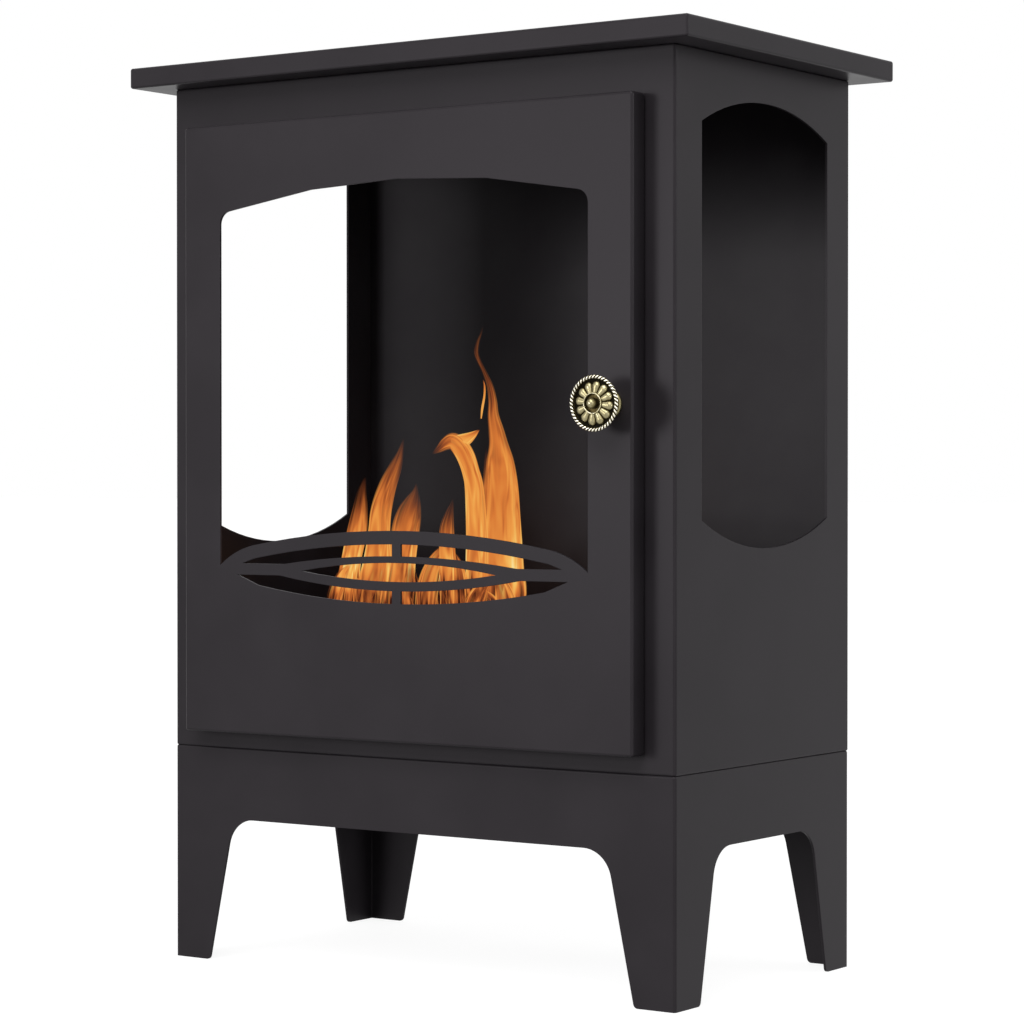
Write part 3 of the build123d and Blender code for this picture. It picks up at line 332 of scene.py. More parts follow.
zinc, shader = start_finish("bright_zinc_plate", "#B4B7BA", 1.0, 0.36)
place = add(zinc, "TexCoord").outputs["Object"]
cast = add(zinc, "TexNoise", {"Scale": 1 / CAST_CHANGE, "Detail": 2.0}, {"Vector": place})
shift = add(zinc, "ValToRGB", links={"Fac": cast})
colour_steps(shift, [(0.3, "#A9B0BA"), (0.5, "#B7B9BA"), (0.7, "#BEB8A6")])
knocks = add(zinc, "TexNoise", {"Scale": 1 / KNOCK, "Detail": 2.0}, {"Vector": place})
worn = add(zinc, "Bevel", {"Radius": WORN_EDGE}, samples=4)
grain = add(zinc, "Bump", {"Strength": 0.1, "Distance": 0.05 * MM}, {"Height": knocks, "Normal": worn})
feed(zinc, shader, {"Base Color": shift, "Normal": grain})
print("zinc: knocks", round(KNOCK / MM, 1), "mm apart")

# %% [markdown]
# ## Moulded plastic and ferrite
# The catch's housing is injection-moulded black ABS with a fine spark-eroded texture. Its magnet is
# sintered ferrite, a dark grey ceramic with a grainy face. Both sit inside the cabinet, so noise at
# the size of their grain is enough.

# %% Plastic and ferrite
SPARK = 0.4 * MM  # between pits of the mould's spark-eroded face
FERRITE_GRAIN = 0.5 * MM

moulded, shader = start_finish("moulded_abs", "#17171A", 0.0, 0.5)
place = add(moulded, "TexCoord").outputs["Object"]
texture = add(moulded, "TexNoise", {"Scale": 1 / SPARK, "Detail": 1.0}, {"Vector": place})
surface = add(moulded, "Bump", {"Strength": 0.2, "Distance": 0.03 * MM}, {"Height": texture})
feed(moulded, shader, {"Normal": surface})

ferrite, shader = start_finish("sintered_ferrite", "#2B2A2C", 0.0, 0.62)
place = add(ferrite, "TexCoord").outputs["Object"]
grains = add(ferrite, "TexNoise", {"Scale": 1 / FERRITE_GRAIN, "Detail": 3.0}, {"Vector": place})
speckle = add(ferrite, "ValToRGB", links={"Fac": grains})
colour_steps(speckle, [(0.4, "#232224"), (0.65, "#3A393C")])
feed(ferrite, shader, {"Base Color": speckle})
print("plastic and ferrite: grain", SPARK / MM, "and", FERRITE_GRAIN / MM, "mm apart")

# %% [markdown]
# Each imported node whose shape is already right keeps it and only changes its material. Assigning to
# the object's own material slots leaves every vertex where the model has it.

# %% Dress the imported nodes
FINISHES = {
    powder: ["base_skirt", "body_wrap", "top_plate", "door_panel", "hinge_frame_leaves",
             "hinge_door_leaves", "hinge_pins", "hinge_frame_rivets", "hinge_door_rivets",
             "catch_rivets", "back_screws"],
    shaded_heat_paint: ["back_panel", "floor_plate", "burner_cradle"],
    stainless: ["burner_box", "burner_cap", "lid_rails", "snuffer_lid"],
    zinc: ["strike_plate", "knob_washer", "top_screws", "base_screws", "cradle_screws", "knob_screw",
           "top_nuts", "base_nuts", "cradle_nuts"],
    moulded: ["catch_housing"],
    ferrite: ["catch_magnet"],
}
for finish, names in FINISHES.items():
    for name in names:
        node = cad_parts[name]
        if not node.material_slots:
            node.data.materials.append(finish)
        for slot in node.material_slots:
            slot.material = finish
print("nodes with a finish:", sum(len(names) for names in FINISHES.values()))

# %% [markdown]
# ## Building round pieces from rings
# The knob, the screws, the nuts and the flames are all stacks of closed rings with the same number of
# points. Lathe-like modifiers could make the plain ones, but a ring that may have any outline also
# makes petals, threads and cross recesses. The first helper joins the rings with quads. The second
# turns such parts into one object, and can keep a number for every point, such as how deep it lies
# in a groove, which a material then reads.

# %% Rings to a mesh
def ring_mesh(rings, first=None, last=None, closed=False):
    """Points and faces of rings joined in order, closed on end points or back onto the first ring."""
    count = len(rings[0])
    points = [p for ring in rings for p in ring]
    faces = []
    for r in range(len(rings) if closed else len(rings) - 1):
        here, there = r * count, (r + 1) % len(rings) * count
        for i in range(count):
            j = (i + 1) % count
            faces.append((here + i, here + j, there + j, there + i))
    if first is not None:
        points.append(first)
        faces += [(len(points) - 1, (i + 1) % count, i) for i in range(count)]
    if last is not None:
        points.append(last)
        start = (len(rings) - 1) * count
        faces += [(len(points) - 1, start + i, start + (i + 1) % count) for i in range(count)]
    return points, faces


def make_piece(name, parts, finish, body, smooth_under, numbers=None):
    """One object from several (points, faces) parts in millimetres, riding on a body of the model."""
    points, faces = [], []
    for part_points, part_faces in parts:
        faces += [tuple(len(points) + i for i in face) for face in part_faces]
        points += [(x * MM, y * MM, z * MM) for x, y, z in part_points]
    mesh = bpy.data.meshes.new(name)
    mesh.from_pydata(points, [], faces)
    for label, values in (numbers or {}).items():
        if isinstance(values[0], tuple):
            flat = [number for vector in values for number in vector]
            mesh.attributes.new(label, "FLOAT_VECTOR", "POINT").data.foreach_set("vector", flat)
        else:
            mesh.attributes.new(label, "FLOAT", "POINT").data.foreach_set("value", values)
    mesh.materials.append(finish)
    shape = bmesh.new()
    shape.from_mesh(mesh)
    bmesh.ops.recalc_face_normals(shape, faces=shape.faces)
    shape.to_mesh(mesh)
    shape.free()
    mesh.shade_smooth()
    mesh.set_sharp_from_angle(angle=radians(smooth_under))
    piece = bpy.data.objects.new(name, mesh)
    bpy.context.scene.collection.objects.link(piece)
    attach(piece, body)
    print(name, "has", len(points), "points")
    return piece


def zigzag(turns):
    """1 at every whole turn and 0 half-way between, with straight flanks."""
    return abs(turns % 1 * 2 - 1)


# %% [markdown]
# ## Antique brass
# The knob is a zinc or brass casting with an antique brass finish: plated, blackened, then polished
# so that only the high places shine. The groove depth that the mesh stores decides where the dark
# patina stays. Fine noise breaks the border between both, and the dark parts are rougher.

# %% Antique brass
BLOTCH, UNEVEN = 1.6 * MM, 0.3  # patches of patina, and how much they shift the groove depth
PIT = 0.35 * MM  # between pits of the casting

brass, shader = start_finish("antique_brass", "#A39A6E", 1.0, 0.3)
depth = add(brass, "Attribute", attribute_name="groove").outputs["Fac"]
place = add(brass, "TexCoord").outputs["Object"]
blotch = add(brass, "TexNoise", {"Scale": 1 / BLOTCH, "Detail": 3.0}, {"Vector": place})
blotch = add(brass, "Math", {1: UNEVEN, 2: -UNEVEN / 2}, {0: blotch}, operation="MULTIPLY_ADD")
grime = add(brass, "Math", links={0: depth, 1: blotch}, operation="ADD", use_clamp=True)
plate = add(brass, "ValToRGB", links={"Fac": grime})
colour_steps(plate, [(0.02, "#E2DED0"), (0.18, "#9A9272"), (0.4, "#736A48"), (0.64, "#473D24"),
                     (0.85, "#14120C")])
rub = add(brass, "MapRange", {"To Min": 0.26, "To Max": 0.62}, {"Value": grime})
pits = add(brass, "TexNoise", {"Scale": 1 / PIT, "Detail": 2.0}, {"Vector": place})
cast = add(brass, "Bump", {"Strength": 0.15, "Distance": 0.06 * MM}, {"Height": pits})
feed(brass, shader, {"Base Color": plate, "Roughness": rub, "Normal": cast})
print("antique brass: pits", round(PIT / MM, 2), "mm apart")

# %% [markdown]
# ## The rose knob
# The knob is a cast rose. Twelve petals swell outwards round a thin ring, a boss stands in the
# ring's dish, and a twisted rope runs round the edge. Seen from the front it is a relief, so its face
# is one polar sheet whose height is a formula of radius and angle. It could be sculpted, but a
# formula keeps the petals alike and gives the groove depth too.

# %% Relief of the rose
knob_low, knob_high = (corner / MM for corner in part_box("door_knob"))
KNOB = ((knob_low.x + knob_high.x) / 2, knob_high.y, (knob_low.z + knob_high.z) / 2)
RIM_R, RIM_H = 15.9, 16.4  # outer edge, and height of the rope over the door
NOSE, BOSS_R, BOSS_DOME = 21.4, 3.05, 9.3  # tip over the door, foot, square of the ball's radius
DISH = 0.2  # depth of the ring's dish under the rim
RING_R, RING_WIRE = 5.65, 0.5
RING_PROUD, RING_SWELL = 1.5, 1.1  # ring's foot over the rim, and its bead against a true circle
PETALS, PETAL_END = 12, 10.05  # how many, and the axis to the centre of a petal's round end
PETAL_TURN = radians(-8)  # how far the screw left the rose turned
PETAL_WIDE, PETAL_SWELL = 1.02, 0.72  # overlap of neighbours, and height against half width
BED_R, BED_SINK, BED_SLOPE = 12.7, 1.3, 0.22  # the bed that the petals lie on falls outwards


def petal_height(radius, angle):
    """Height of the petals over their bed, and how far out on the petal the point is, from 0 to 1."""
    half = pi / PETALS
    turn = (angle - PETAL_TURN + half) % (2 * half) - half
    along, across = radius * cos(turn), radius * sin(turn)
    if along < PETAL_END:
        wide = along * sin(half) * PETAL_WIDE
    else:
        wide = sqrt(max(0.0, (PETAL_END * sin(half) * PETAL_WIDE) ** 2 - (along - PETAL_END) ** 2))
    share = min(1.0, abs(across) / wide) if wide > 0 else 1.0
    return PETAL_SWELL * wide * sqrt(1 - share ** 2), share


def rose_height(radius, angle):
    """Height over the door's face, and groove depth from 0 on a crest to 1 in the deepest place."""
    bed = RIM_H - BED_SINK + BED_SLOPE * max(0.0, BED_R - radius)
    if radius < BOSS_R:
        dome = sqrt(max(0.0, BOSS_DOME - radius ** 2))
        return NOSE - BOSS_R + dome, 0.2 + 0.4 * (radius / BOSS_R) ** 4
    if radius < RING_R - RING_WIRE:
        return RIM_H - DISH, 0.62
    if radius < RING_R + RING_WIRE:
        bead = sqrt(max(0.0, RING_WIRE ** 2 - (radius - RING_R) ** 2))
        return RIM_H + RING_PROUD + RING_SWELL * bead, 0.14 + 0.5 * (1 - bead / RING_WIRE)
    rise, share = petal_height(radius, angle)
    groove = 0.22 + 0.78 * share ** 7 if rise > 0 else 0.88
    return bed + rise, groove


print("the ring's crest stands", round(rose_height(RING_R, 0)[0], 2), "mm over the door")

# %% [markdown]
# The rings of the face stand closer together where the relief is steep. They go on over the edge
# and down the waisted stem to the collar on the door, so face and stem are one closed casting.

# %% Face and stem
ROUND = 288
angles = [2 * pi * i / ROUND for i in range(ROUND)]


def on_knob(radius, height, angle):
    """A point by its distance from the knob's axis, its height over the door, and its angle."""
    return KNOB[0] + radius * cos(angle), KNOB[1] - height, KNOB[2] + radius * sin(angle)


def spread(start, step, count):
    """Evenly spaced radii."""
    return [start + step * i for i in range(count)]


radii = spread(0.3, 0.3, 9) + [2.9, 3.04, 3.06, 3.5, 4.2, 4.8, 5.14]
radii += spread(5.16, 0.1225, 9) + spread(6.16, 0.2, 33) + spread(BED_R, 0.12, 9)
knob_rings, grooves = [], []
for radius in radii:
    reliefs = [rose_height(radius, angle) for angle in angles]
    knob_rings.append([on_knob(radius, height, angle) for (height, _), angle in zip(reliefs, angles)])
    grooves += [groove for _, groove in reliefs]

# Radius and height over the door, from the gutter inside the rope to the collar's foot.
back_profile = [(13.75, 15.2), (14.1, 15.9), (14.5, 15.9), (14.7, 15.4), (14.2, 14.9), (12.6, 14.0),
                (10.4, 12.7), (8.2, 11.1), (6.5, 9.2), (5.4, 7.2), (5.0, 5.4), (5.1, 4.2),
                (5.6, 3.3), (6.4, 2.75), (7.0, 2.6), (7.3, 2.5), (7.9, 2.3), (8.3, 1.8), (8.4, 1.2),
                (8.35, 0.5), (8.2, 0.0)]
back_grooves = [0.75] * 2 + [0.3] * 10 + [0.45] * 4 + [0.3] * 5  # gutter, stem, collar's top, collar
for (radius, height), groove in zip(back_profile, back_grooves):
    knob_rings.append([on_knob(radius, height, angle) for angle in angles])
    grooves += [groove] * ROUND
rose = ring_mesh(knob_rings, on_knob(0, NOSE, 0), on_knob(0, 0, 0))
grooves += [0.0, 0.5]  # the nose's tip, and the middle of the collar
print("rose:", len(knob_rings), "rings of", ROUND)

# %% [markdown]
# The rope is a second part, a torus whose tube is drawn in where two of its forty-four slanting
# strands meet. The groove number follows, so the patina fills the gaps. Real twisted cords would
# look the same with far more points.

# %% Rope round the rim
ROPE_R, STRANDS = 1.1, 44
SLANT = 2  # strands shift by two while going once round the rope's own tube
GAP_DEEP = 0.5  # how far the tube is drawn in between strands
STRAND_RINGS, TUBE_POINTS = 10, 24

rope_rings, rope_grooves = [], []
for i in range(STRANDS * STRAND_RINGS):
    angle = 2 * pi * i / (STRANDS * STRAND_RINGS)
    ring = []
    for k in range(TUBE_POINTS):
        turn = 2 * pi * k / TUBE_POINTS
        gap = zigzag((STRANDS * angle - SLANT * turn) / (2 * pi))
        tube = ROPE_R - GAP_DEEP * (1 - sqrt(max(0.0, 1 - gap ** 2)))
        ring.append(on_knob(RIM_R - ROPE_R + tube * cos(turn), RIM_H + tube * sin(turn), angle))
        rope_grooves.append(min(1.0, max(0.0, gap * 2.4 - 1.0)))
    rope_rings.append(ring)
rope = ring_mesh(rope_rings, closed=True)
knob = make_piece("rose_knob", [rose, rope], brass, "door", 50, {"groove": grooves + rope_grooves})
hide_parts("door_knob")

# %% [markdown]
# ## Screws and nuts
# The fireplace is screwed together with ordinary M4 fasteners: pan heads with a cross recess, a
# rolled thread with a 0.7 mm pitch, and chamfered hexagon nuts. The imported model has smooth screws
# and sharp-edged nuts, and the places are read from those, so that every detailed piece stands
# exactly where its plain one is, with its head at the same end.

# %% Where the plain fasteners are
def solids_of(name):
    """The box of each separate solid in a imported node, with its points, in millimetres."""
    shape = bmesh.new()
    shape.from_mesh(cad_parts[name].data)
    bmesh.ops.remove_doubles(shape, verts=shape.verts, dist=0.001 * MM)
    seen, found = set(), []
    for start in shape.verts:
        waiting, solid = [start], []
        while waiting:
            vert = waiting.pop()
            if vert not in seen:
                seen.add(vert)
                solid.append(vert.co / MM)
                waiting += [edge.other_vert(vert) for edge in vert.link_edges]
        if solid:
            low = Vector(min(p[i] for p in solid) for i in range(3))
            high = Vector(max(p[i] for p in solid) for i in range(3))
            found.append((low, high, solid))
    shape.free()
    return found


print("back screws found:", len(solids_of("back_screws")))

# %% [markdown]
# A screw is one stack of rings from the point of its recess, over the pan head and down the shank to
# the tail. A ring round the cross has as many points as a round one, so the two join with quads.
# The thread is a wave on the shank's radius that runs round once for each pitch, which needs no
# second mesh and no boolean cut.

# %% Rings of a cross-recess screw
HEAD_R, HEAD_H, SCREW_R, PITCH = 3.6, 2.4, 2.0, 0.7
ARM, ARM_HALF = 1.9, 0.45  # the cross: an arm's length and half width
RECESS_MOUTH, RECESS_DEEP, RECESS_POINT = 0.12, 1.45, 1.6  # depths under the head's top
RECESS_TAPER = 0.72  # the cross's size down there
# The pan head from its flat to its underside: radius, and depth under the head's top.
PAN_HEAD = [(2.3, 0.1), (2.8, 0.28), (3.25, 0.7), (3.5, 1.2), (HEAD_R, 1.75), (HEAD_R, 2.25),
            (3.5, HEAD_H)]
NECK_R, THREAD_DEEP, THREAD_ROWS = 2.05, 0.3, 4  # rows of points for each pitch
TAIL_R, TAIL_LONG = 1.45, 0.5
AROUND = 24
# Turned back by one step, to start beside the cross's first point.
steps_round = [2 * pi * (i - 1) / AROUND for i in range(AROUND)]


def cross_outline(scale):
    """Twenty-four points round a cross, in step with a ring of twenty-four."""
    mid = (ARM + ARM_HALF) / 2
    quarter = [(ARM, -ARM_HALF), (ARM, 0), (ARM, ARM_HALF), (mid, ARM_HALF), (ARM_HALF, ARM_HALF),
               (ARM_HALF, mid)]
    points = []
    for turn in range(4):
        c, s = round(cos(turn * pi / 2)), round(sin(turn * pi / 2))
        points += [((x * c - y * s) * scale, (x * s + y * c) * scale) for x, y in quarter]
    return points


def circle(radius):
    """Twenty-four points round the axis, in step with the cross."""
    return [(radius * cos(a), radius * sin(a)) for a in steps_round]


def thread_outline(height):
    """The shank's outline at one height, waving between the thread's crest and root."""
    outline = []
    for angle in steps_round:
        radius = SCREW_R - THREAD_DEEP * zigzag(height / PITCH + angle / (2 * pi))
        outline.append((radius * cos(angle), radius * sin(angle)))
    return outline


def screw_rings(length):
    """Rings from the recess to the tail, between two end points; height 0 is under the head."""
    rings = [([(0, 0)], HEAD_H - RECESS_POINT), (cross_outline(RECESS_TAPER), HEAD_H - RECESS_DEEP),
             (cross_outline(1.0), HEAD_H - RECESS_MOUTH)]
    rings += [(circle(radius), HEAD_H - drop) for radius, drop in PAN_HEAD]
    rings.append((circle(NECK_R), 0.0))
    threaded = length - HEAD_H - TAIL_LONG
    rows = ceil(threaded / (PITCH / THREAD_ROWS))
    for row in range(rows):
        down = -threaded * (row + 1) / rows
        rings.append((thread_outline(down), down))
    return rings + [(circle(TAIL_R), HEAD_H - length), ([(0, 0)], HEAD_H - length)]


print("rings on a 9.6 mm screw:", len(screw_rings(9.6)))

# %% Replace the plain screws
def place_rings(rings, middle, along, out):
    """Turn flat rings into points: along is the axis 0, 1 or 2, out is +1 or -1 towards the head."""
    first, second = ((1, 2), (2, 0), (0, 1))[along]
    placed = []
    for outline, height in rings:
        ring = []
        for u, v in outline:
            point = list(middle)
            point[first] += u
            point[second] += v
            point[along] += out * height
            ring.append(tuple(point))
        placed.append(ring)
    return placed


def dress_screws(name, body, finish):
    """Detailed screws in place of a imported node's plain ones."""
    parts = []
    for low, high, solid in solids_of(name):
        size = high - low
        along = max(range(3), key=lambda i: size[i])
        middle = (low + high) / 2
        across = (along + 1) % 3
        top = [p for p in solid if p[along] > high[along] - 0.05]
        head_up = max(abs(p[across] - middle[across]) for p in top) > (SCREW_R + HEAD_R) / 2
        out = 1 if head_up else -1
        middle[along] = high[along] - HEAD_H if head_up else low[along] + HEAD_H
        recess, *rings, tail = place_rings(screw_rings(size[along]), middle, along, out)
        parts.append(ring_mesh(rings, recess[0], tail[0]))
    piece = make_piece(name.replace("screw", "cross_screw"), parts, finish, body, 35)
    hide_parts(name)


for name in ("top_screws", "base_screws", "cradle_screws"):
    dress_screws(name, "cabinet", zinc)
dress_screws("knob_screw", "door", zinc)
dress_screws("back_screws", "cabinet", powder)

# %% [markdown]
# A nut is cut from hexagon bar, and the chamfer of both faces ends each of its six sides in an arc.
# The rings run from the bore out over the lower face and up the sides, and the upper half is the
# lower one turned over. A ring whose height follows the side's distance draws the arcs by itself.

# %% Replace the plain nuts
NUT_POINTS = 48
nut_angles = [2 * pi * i / NUT_POINTS for i in range(NUT_POINTS)]
NUT_CHAMFER = 3.4  # radius where the chamfer starts on both faces
CHAMFER_SLOPE = tan(radians(30))
BORE, BORE_CHAMFER = 2.06, 0.25
FACE_STEP = 0.02  # keeps the side's lowest points clear of the face


def hexagon(angle, flats):
    """Distance from the axis to a hexagon's side, with a corner at angle 0."""
    return flats / 2 / cos((angle % (pi / 3)) - pi / 6)


def nut_rings(thick, flats):
    """Rings of (distance from the axis, height) at each of the nut's angles."""
    sides = [hexagon(angle, flats) for angle in nut_angles]
    lower = [
        [(BORE, BORE_CHAMFER)] * NUT_POINTS,
        [(BORE + BORE_CHAMFER, 0.0)] * NUT_POINTS,
        [(min(side, NUT_CHAMFER), 0.0) for side in sides],
        [(side, max(0.0, side - NUT_CHAMFER) * CHAMFER_SLOPE + FACE_STEP) for side in sides],
    ]
    return lower + [[(reach, thick - height) for reach, height in ring] for ring in reversed(lower)]


def dress_nuts(name):
    """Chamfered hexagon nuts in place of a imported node's plain ones."""
    parts = []
    for low, high, _ in solids_of(name):
        x, y = (low.x + high.x) / 2, (low.y + high.y) / 2
        rings = []
        for ring in nut_rings(high.z - low.z, high.y - low.y):
            rings.append([(x + reach * cos(angle), y + reach * sin(angle), low.z + height)
                          for (reach, height), angle in zip(ring, nut_angles)])
        parts.append(ring_mesh(rings, closed=True))
    piece = make_piece(name.replace("nuts", "hex_nuts"), parts, zinc, "cabinet", 30)
    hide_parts(name)


for name in ("top_nuts", "base_nuts", "cradle_nuts"):
    dress_nuts(name)

# %% [markdown]
# ## Ceramic wool
# The burner box is packed with white ceramic fibre that soaks up the fuel. It looks like a felt:
# matted fibres with soft lumps, and a little soot where the flames stand. The finish adds the
# fibres, which are too fine to model: two stretched noises that cross each other.

# %% Ceramic wool finish
FIBRE_LONG, FIBRE_THIN, FIBRE_LAYER = 9 * MM, 0.6 * MM, 2 * MM  # coarser than real, so that they show
SOOT = 16 * MM  # size of the sooty patches

wool_finish, shader = start_finish("ceramic_fibre_wool", "#DAD5CA", 0.0, 0.95, {"Sheen Weight": 0.2})
place = add(wool_finish, "TexCoord").outputs["Object"]
fibres = []
for x_size, y_size in ((FIBRE_LONG, FIBRE_THIN), (FIBRE_THIN, FIBRE_LONG)):
    stretch = add(wool_finish, "Mapping", {"Scale": (1 / x_size, 1 / y_size, 1 / FIBRE_LAYER)},
                  {"Vector": place})
    strand = add(wool_finish, "TexNoise", {"Scale": 1.0, "Detail": 3.0, "Distortion": 0.8},
                 {"Vector": stretch})
    fibres.append(strand)
mat = add(wool_finish, "Math", links={0: fibres[0], 1: fibres[1]}, operation="MAXIMUM")
soot = add(wool_finish, "TexNoise", {"Scale": 1 / SOOT, "Detail": 4.0}, {"Vector": place})
stain = add(wool_finish, "ValToRGB", links={"Fac": soot})
colour_steps(stain, [(0.38, "#DAD5CA"), (0.56, "#B3A894"), (0.74, "#6B6154")])
felt = add(wool_finish, "Bump", {"Strength": 0.7, "Distance": 0.5 * MM}, {"Height": mat})
feed(wool_finish, shader, {"Base Color": stain, "Normal": felt})
print("ceramic wool finish: fibres", round(FIBRE_THIN / MM, 1), "mm thick")

# %% [markdown]
# A plain box would look wrong for soft wool, and wool is too stiff for a cloth simulation. So its top
# is a fine grid whose height is worked out: layered noise makes lumps and tufts, and the edge rounds
# over where the pad is pushed in between the walls.

# %% Ceramic wool block
COLUMNS, ROWS = 150, 46
SINK = 1.4  # the felt's middle height under the top of its space
EDGE_WIDE, EDGE_DROP = 6.0, 4.0  # how far in, and how deep, the felt rounds over at the walls
LUMP, LUMP_WIDE = 1.1, 22
TUFT, TUFT_WIDE = 0.5, 3

low, high = (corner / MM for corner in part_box("wool_pad"))
top_points = []
for row in range(ROWS + 1):
    y = low.y + (high.y - low.y) * row / ROWS
    for column in range(COLUMNS + 1):
        x = low.x + (high.x - low.x) * column / COLUMNS
        edge = min(x - low.x, high.x - x, y - low.y, high.y - y)
        round_over = EDGE_DROP * (1 - sqrt(1 - (1 - min(edge, EDGE_WIDE) / EDGE_WIDE) ** 2))
        lump = LUMP * noise.fractal(Vector((x / LUMP_WIDE, y / LUMP_WIDE, 3.0)), 1.0, 2.0, 2)
        lump += TUFT * noise.noise(Vector((x / TUFT_WIDE, y / TUFT_WIDE, 9.0)))
        top_points.append((x, y, min(high.z, high.z - SINK - round_over + lump)))
points = top_points + [(x, y, low.z) for x, y, _ in top_points]

width, total = COLUMNS + 1, len(top_points)
faces = []
for r in range(ROWS):
    for c in range(COLUMNS):
        a = r * width + c
        faces.append((a, a + 1, a + width + 1, a + width))
        faces.append((total + a, total + a + width, total + a + width + 1, total + a + 1))
border = list(range(width)) + [r * width + COLUMNS for r in range(1, ROWS + 1)]
border += [ROWS * width + c for c in range(COLUMNS - 1, -1, -1)]
border += [r * width for r in range(ROWS - 1, 0, -1)]
for a, b in zip(border, border[1:] + border[:1]):
    faces.append((a, total + a, total + b, b))
wool = make_piece("ceramic_wool", [(points, faces)], wool_finish, "burner", 60)
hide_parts("wool_pad")

# %% [markdown]
# ## Flames
# Ethanol burns with tall, see-through tongues. Smoke simulation could make them, but it is slow and
# never twice the same, and here their places matter. So each tongue is a closed, leaf-shaped
# tube round a curved spine. Every point stores three values: how far up the tongue it is, how near
# its side edge, and its place along and across the flow. Noise stretched along the flow follows
# every bend, so it makes the narrow threads and broader folds of a real flame.

# %% Streaks along the flow
THREAD_WIDE, THREAD_TALL, THREAD_SHARE = 6, 75, 0.34
FOLD_WIDE, FOLD_TALL = 12, 36

flame, shader = start_finish("ethanol_flame", "#000000", 0.0, 1.0)
flame.node_tree.nodes.remove(shader)
rise = add(flame, "Attribute", attribute_name="rise").outputs["Fac"]
rim = add(flame, "Attribute", attribute_name="rim").outputs["Fac"]
flow = add(flame, "Attribute", attribute_name="flow").outputs["Vector"]
height = add(flame, "SeparateXYZ", links={0: flow}).outputs["Z"]
streaks = []
for wide, tall, distortion in ((THREAD_WIDE, THREAD_TALL, 0.6), (FOLD_WIDE, FOLD_TALL, 1.2)):
    streak = add(flame, "Mapping", {"Scale": (1 / wide, 1.0, 1 / tall)}, {"Vector": flow})
    streak = add(flame, "TexNoise", {"Scale": 1.0, "Detail": 1.0, "Distortion": distortion},
                 {"Vector": streak})
    streak = add(flame, "Math", {1: 0.5}, {0: streak}, operation="SUBTRACT")
    streaks.append(streak)
print("flame threads and folds:", THREAD_WIDE, "and", FOLD_WIDE, "mm wide")

# %% [markdown]
# Warmth goes from dark red at 0 to pale yellow at 1. A tongue cools as it rises, its side edge glows
# a little more, its foot is darker where the vapour isn't burning yet, and the streaks shift all of
# it. Warmth also decides how much the flame covers what is behind, and the cover fades at sides and
# tip. Emission mixed with transparency is enough here, and far quicker than a volume.

# %% Colour and cover of the flames
warmth = add(flame, "MapRange", {"From Max": 0.9, "To Min": 0.74, "To Max": 0.16}, {"Value": rise})
turmoil = add(flame, "MapRange", {"From Min": 15, "From Max": 60, "To Min": 2.2, "To Max": 0.8},
              {"Value": height})
outline = add(flame, "MapRange", {"From Min": 0.6, "From Max": 0.88, "To Max": 0.2}, {"Value": rim})
foot = add(flame, "MapRange", {"From Min": 14, "From Max": 40, "To Min": 0.7, "To Max": 0.0},
           {"Value": height})
warmth = add(flame, "Math", links={0: warmth, 1: foot}, operation="SUBTRACT")
warmth = add(flame, "Math", {1: THREAD_SHARE}, {0: streaks[0], 2: warmth}, operation="MULTIPLY_ADD")
warmth = add(flame, "Math", links={0: streaks[1], 1: turmoil, 2: warmth}, operation="MULTIPLY_ADD")
warmth = add(flame, "Math", links={0: warmth, 1: outline}, operation="ADD", use_clamp=True)
heat = add(flame, "ValToRGB", links={"Fac": warmth})
colour_steps(heat, [(0.0, "#4A2114"), (0.18, "#A8552A"), (0.36, "#DC7C38"), (0.58, "#F3A04A"),
                    (0.78, "#FDC868"), (1.0, "#FFEBA6")])
cover = add(flame, "MapRange", {"From Min": 0.02, "From Max": 0.38, "To Min": 0.3, "To Max": 0.97},
            {"Value": warmth})
soft_from = add(flame, "MapRange", {"From Min": 0.55, "To Min": 0.82, "To Max": 0.0}, {"Value": rise})
side_fade = add(flame, "MapRange", {"From Min": 0.97}, {"Value": rim, "From Max": soft_from})
tip_fade = add(flame, "MapRange", {"From Min": 1.0, "From Max": 0.74}, {"Value": rise})
for fade in (side_fade, tip_fade):
    cover = add(flame, "Math", links={0: cover, 1: fade}, operation="MULTIPLY")
glow = add(flame, "Emission", {"Strength": 0.95}, {"Color": heat})
clear = add(flame, "BsdfTransparent")
mixed = add(flame, "MixShader", links={0: cover, 1: clear, 2: glow})
feed(flame, flame.node_tree.nodes["Material Output"], {"Surface": mixed})
flame.cycles.emission_sampling = "NONE"
print("flame finish made")

# %% [markdown]
# The large tongues stand where the photograph has them. Each has a depth behind the burner's middle
# line, and stations along its spine: X, height and half width, in millimetres. The curl bends over
# and has a spur on its shoulder, and the wisp is a shred that came loose beside the tall tongue.

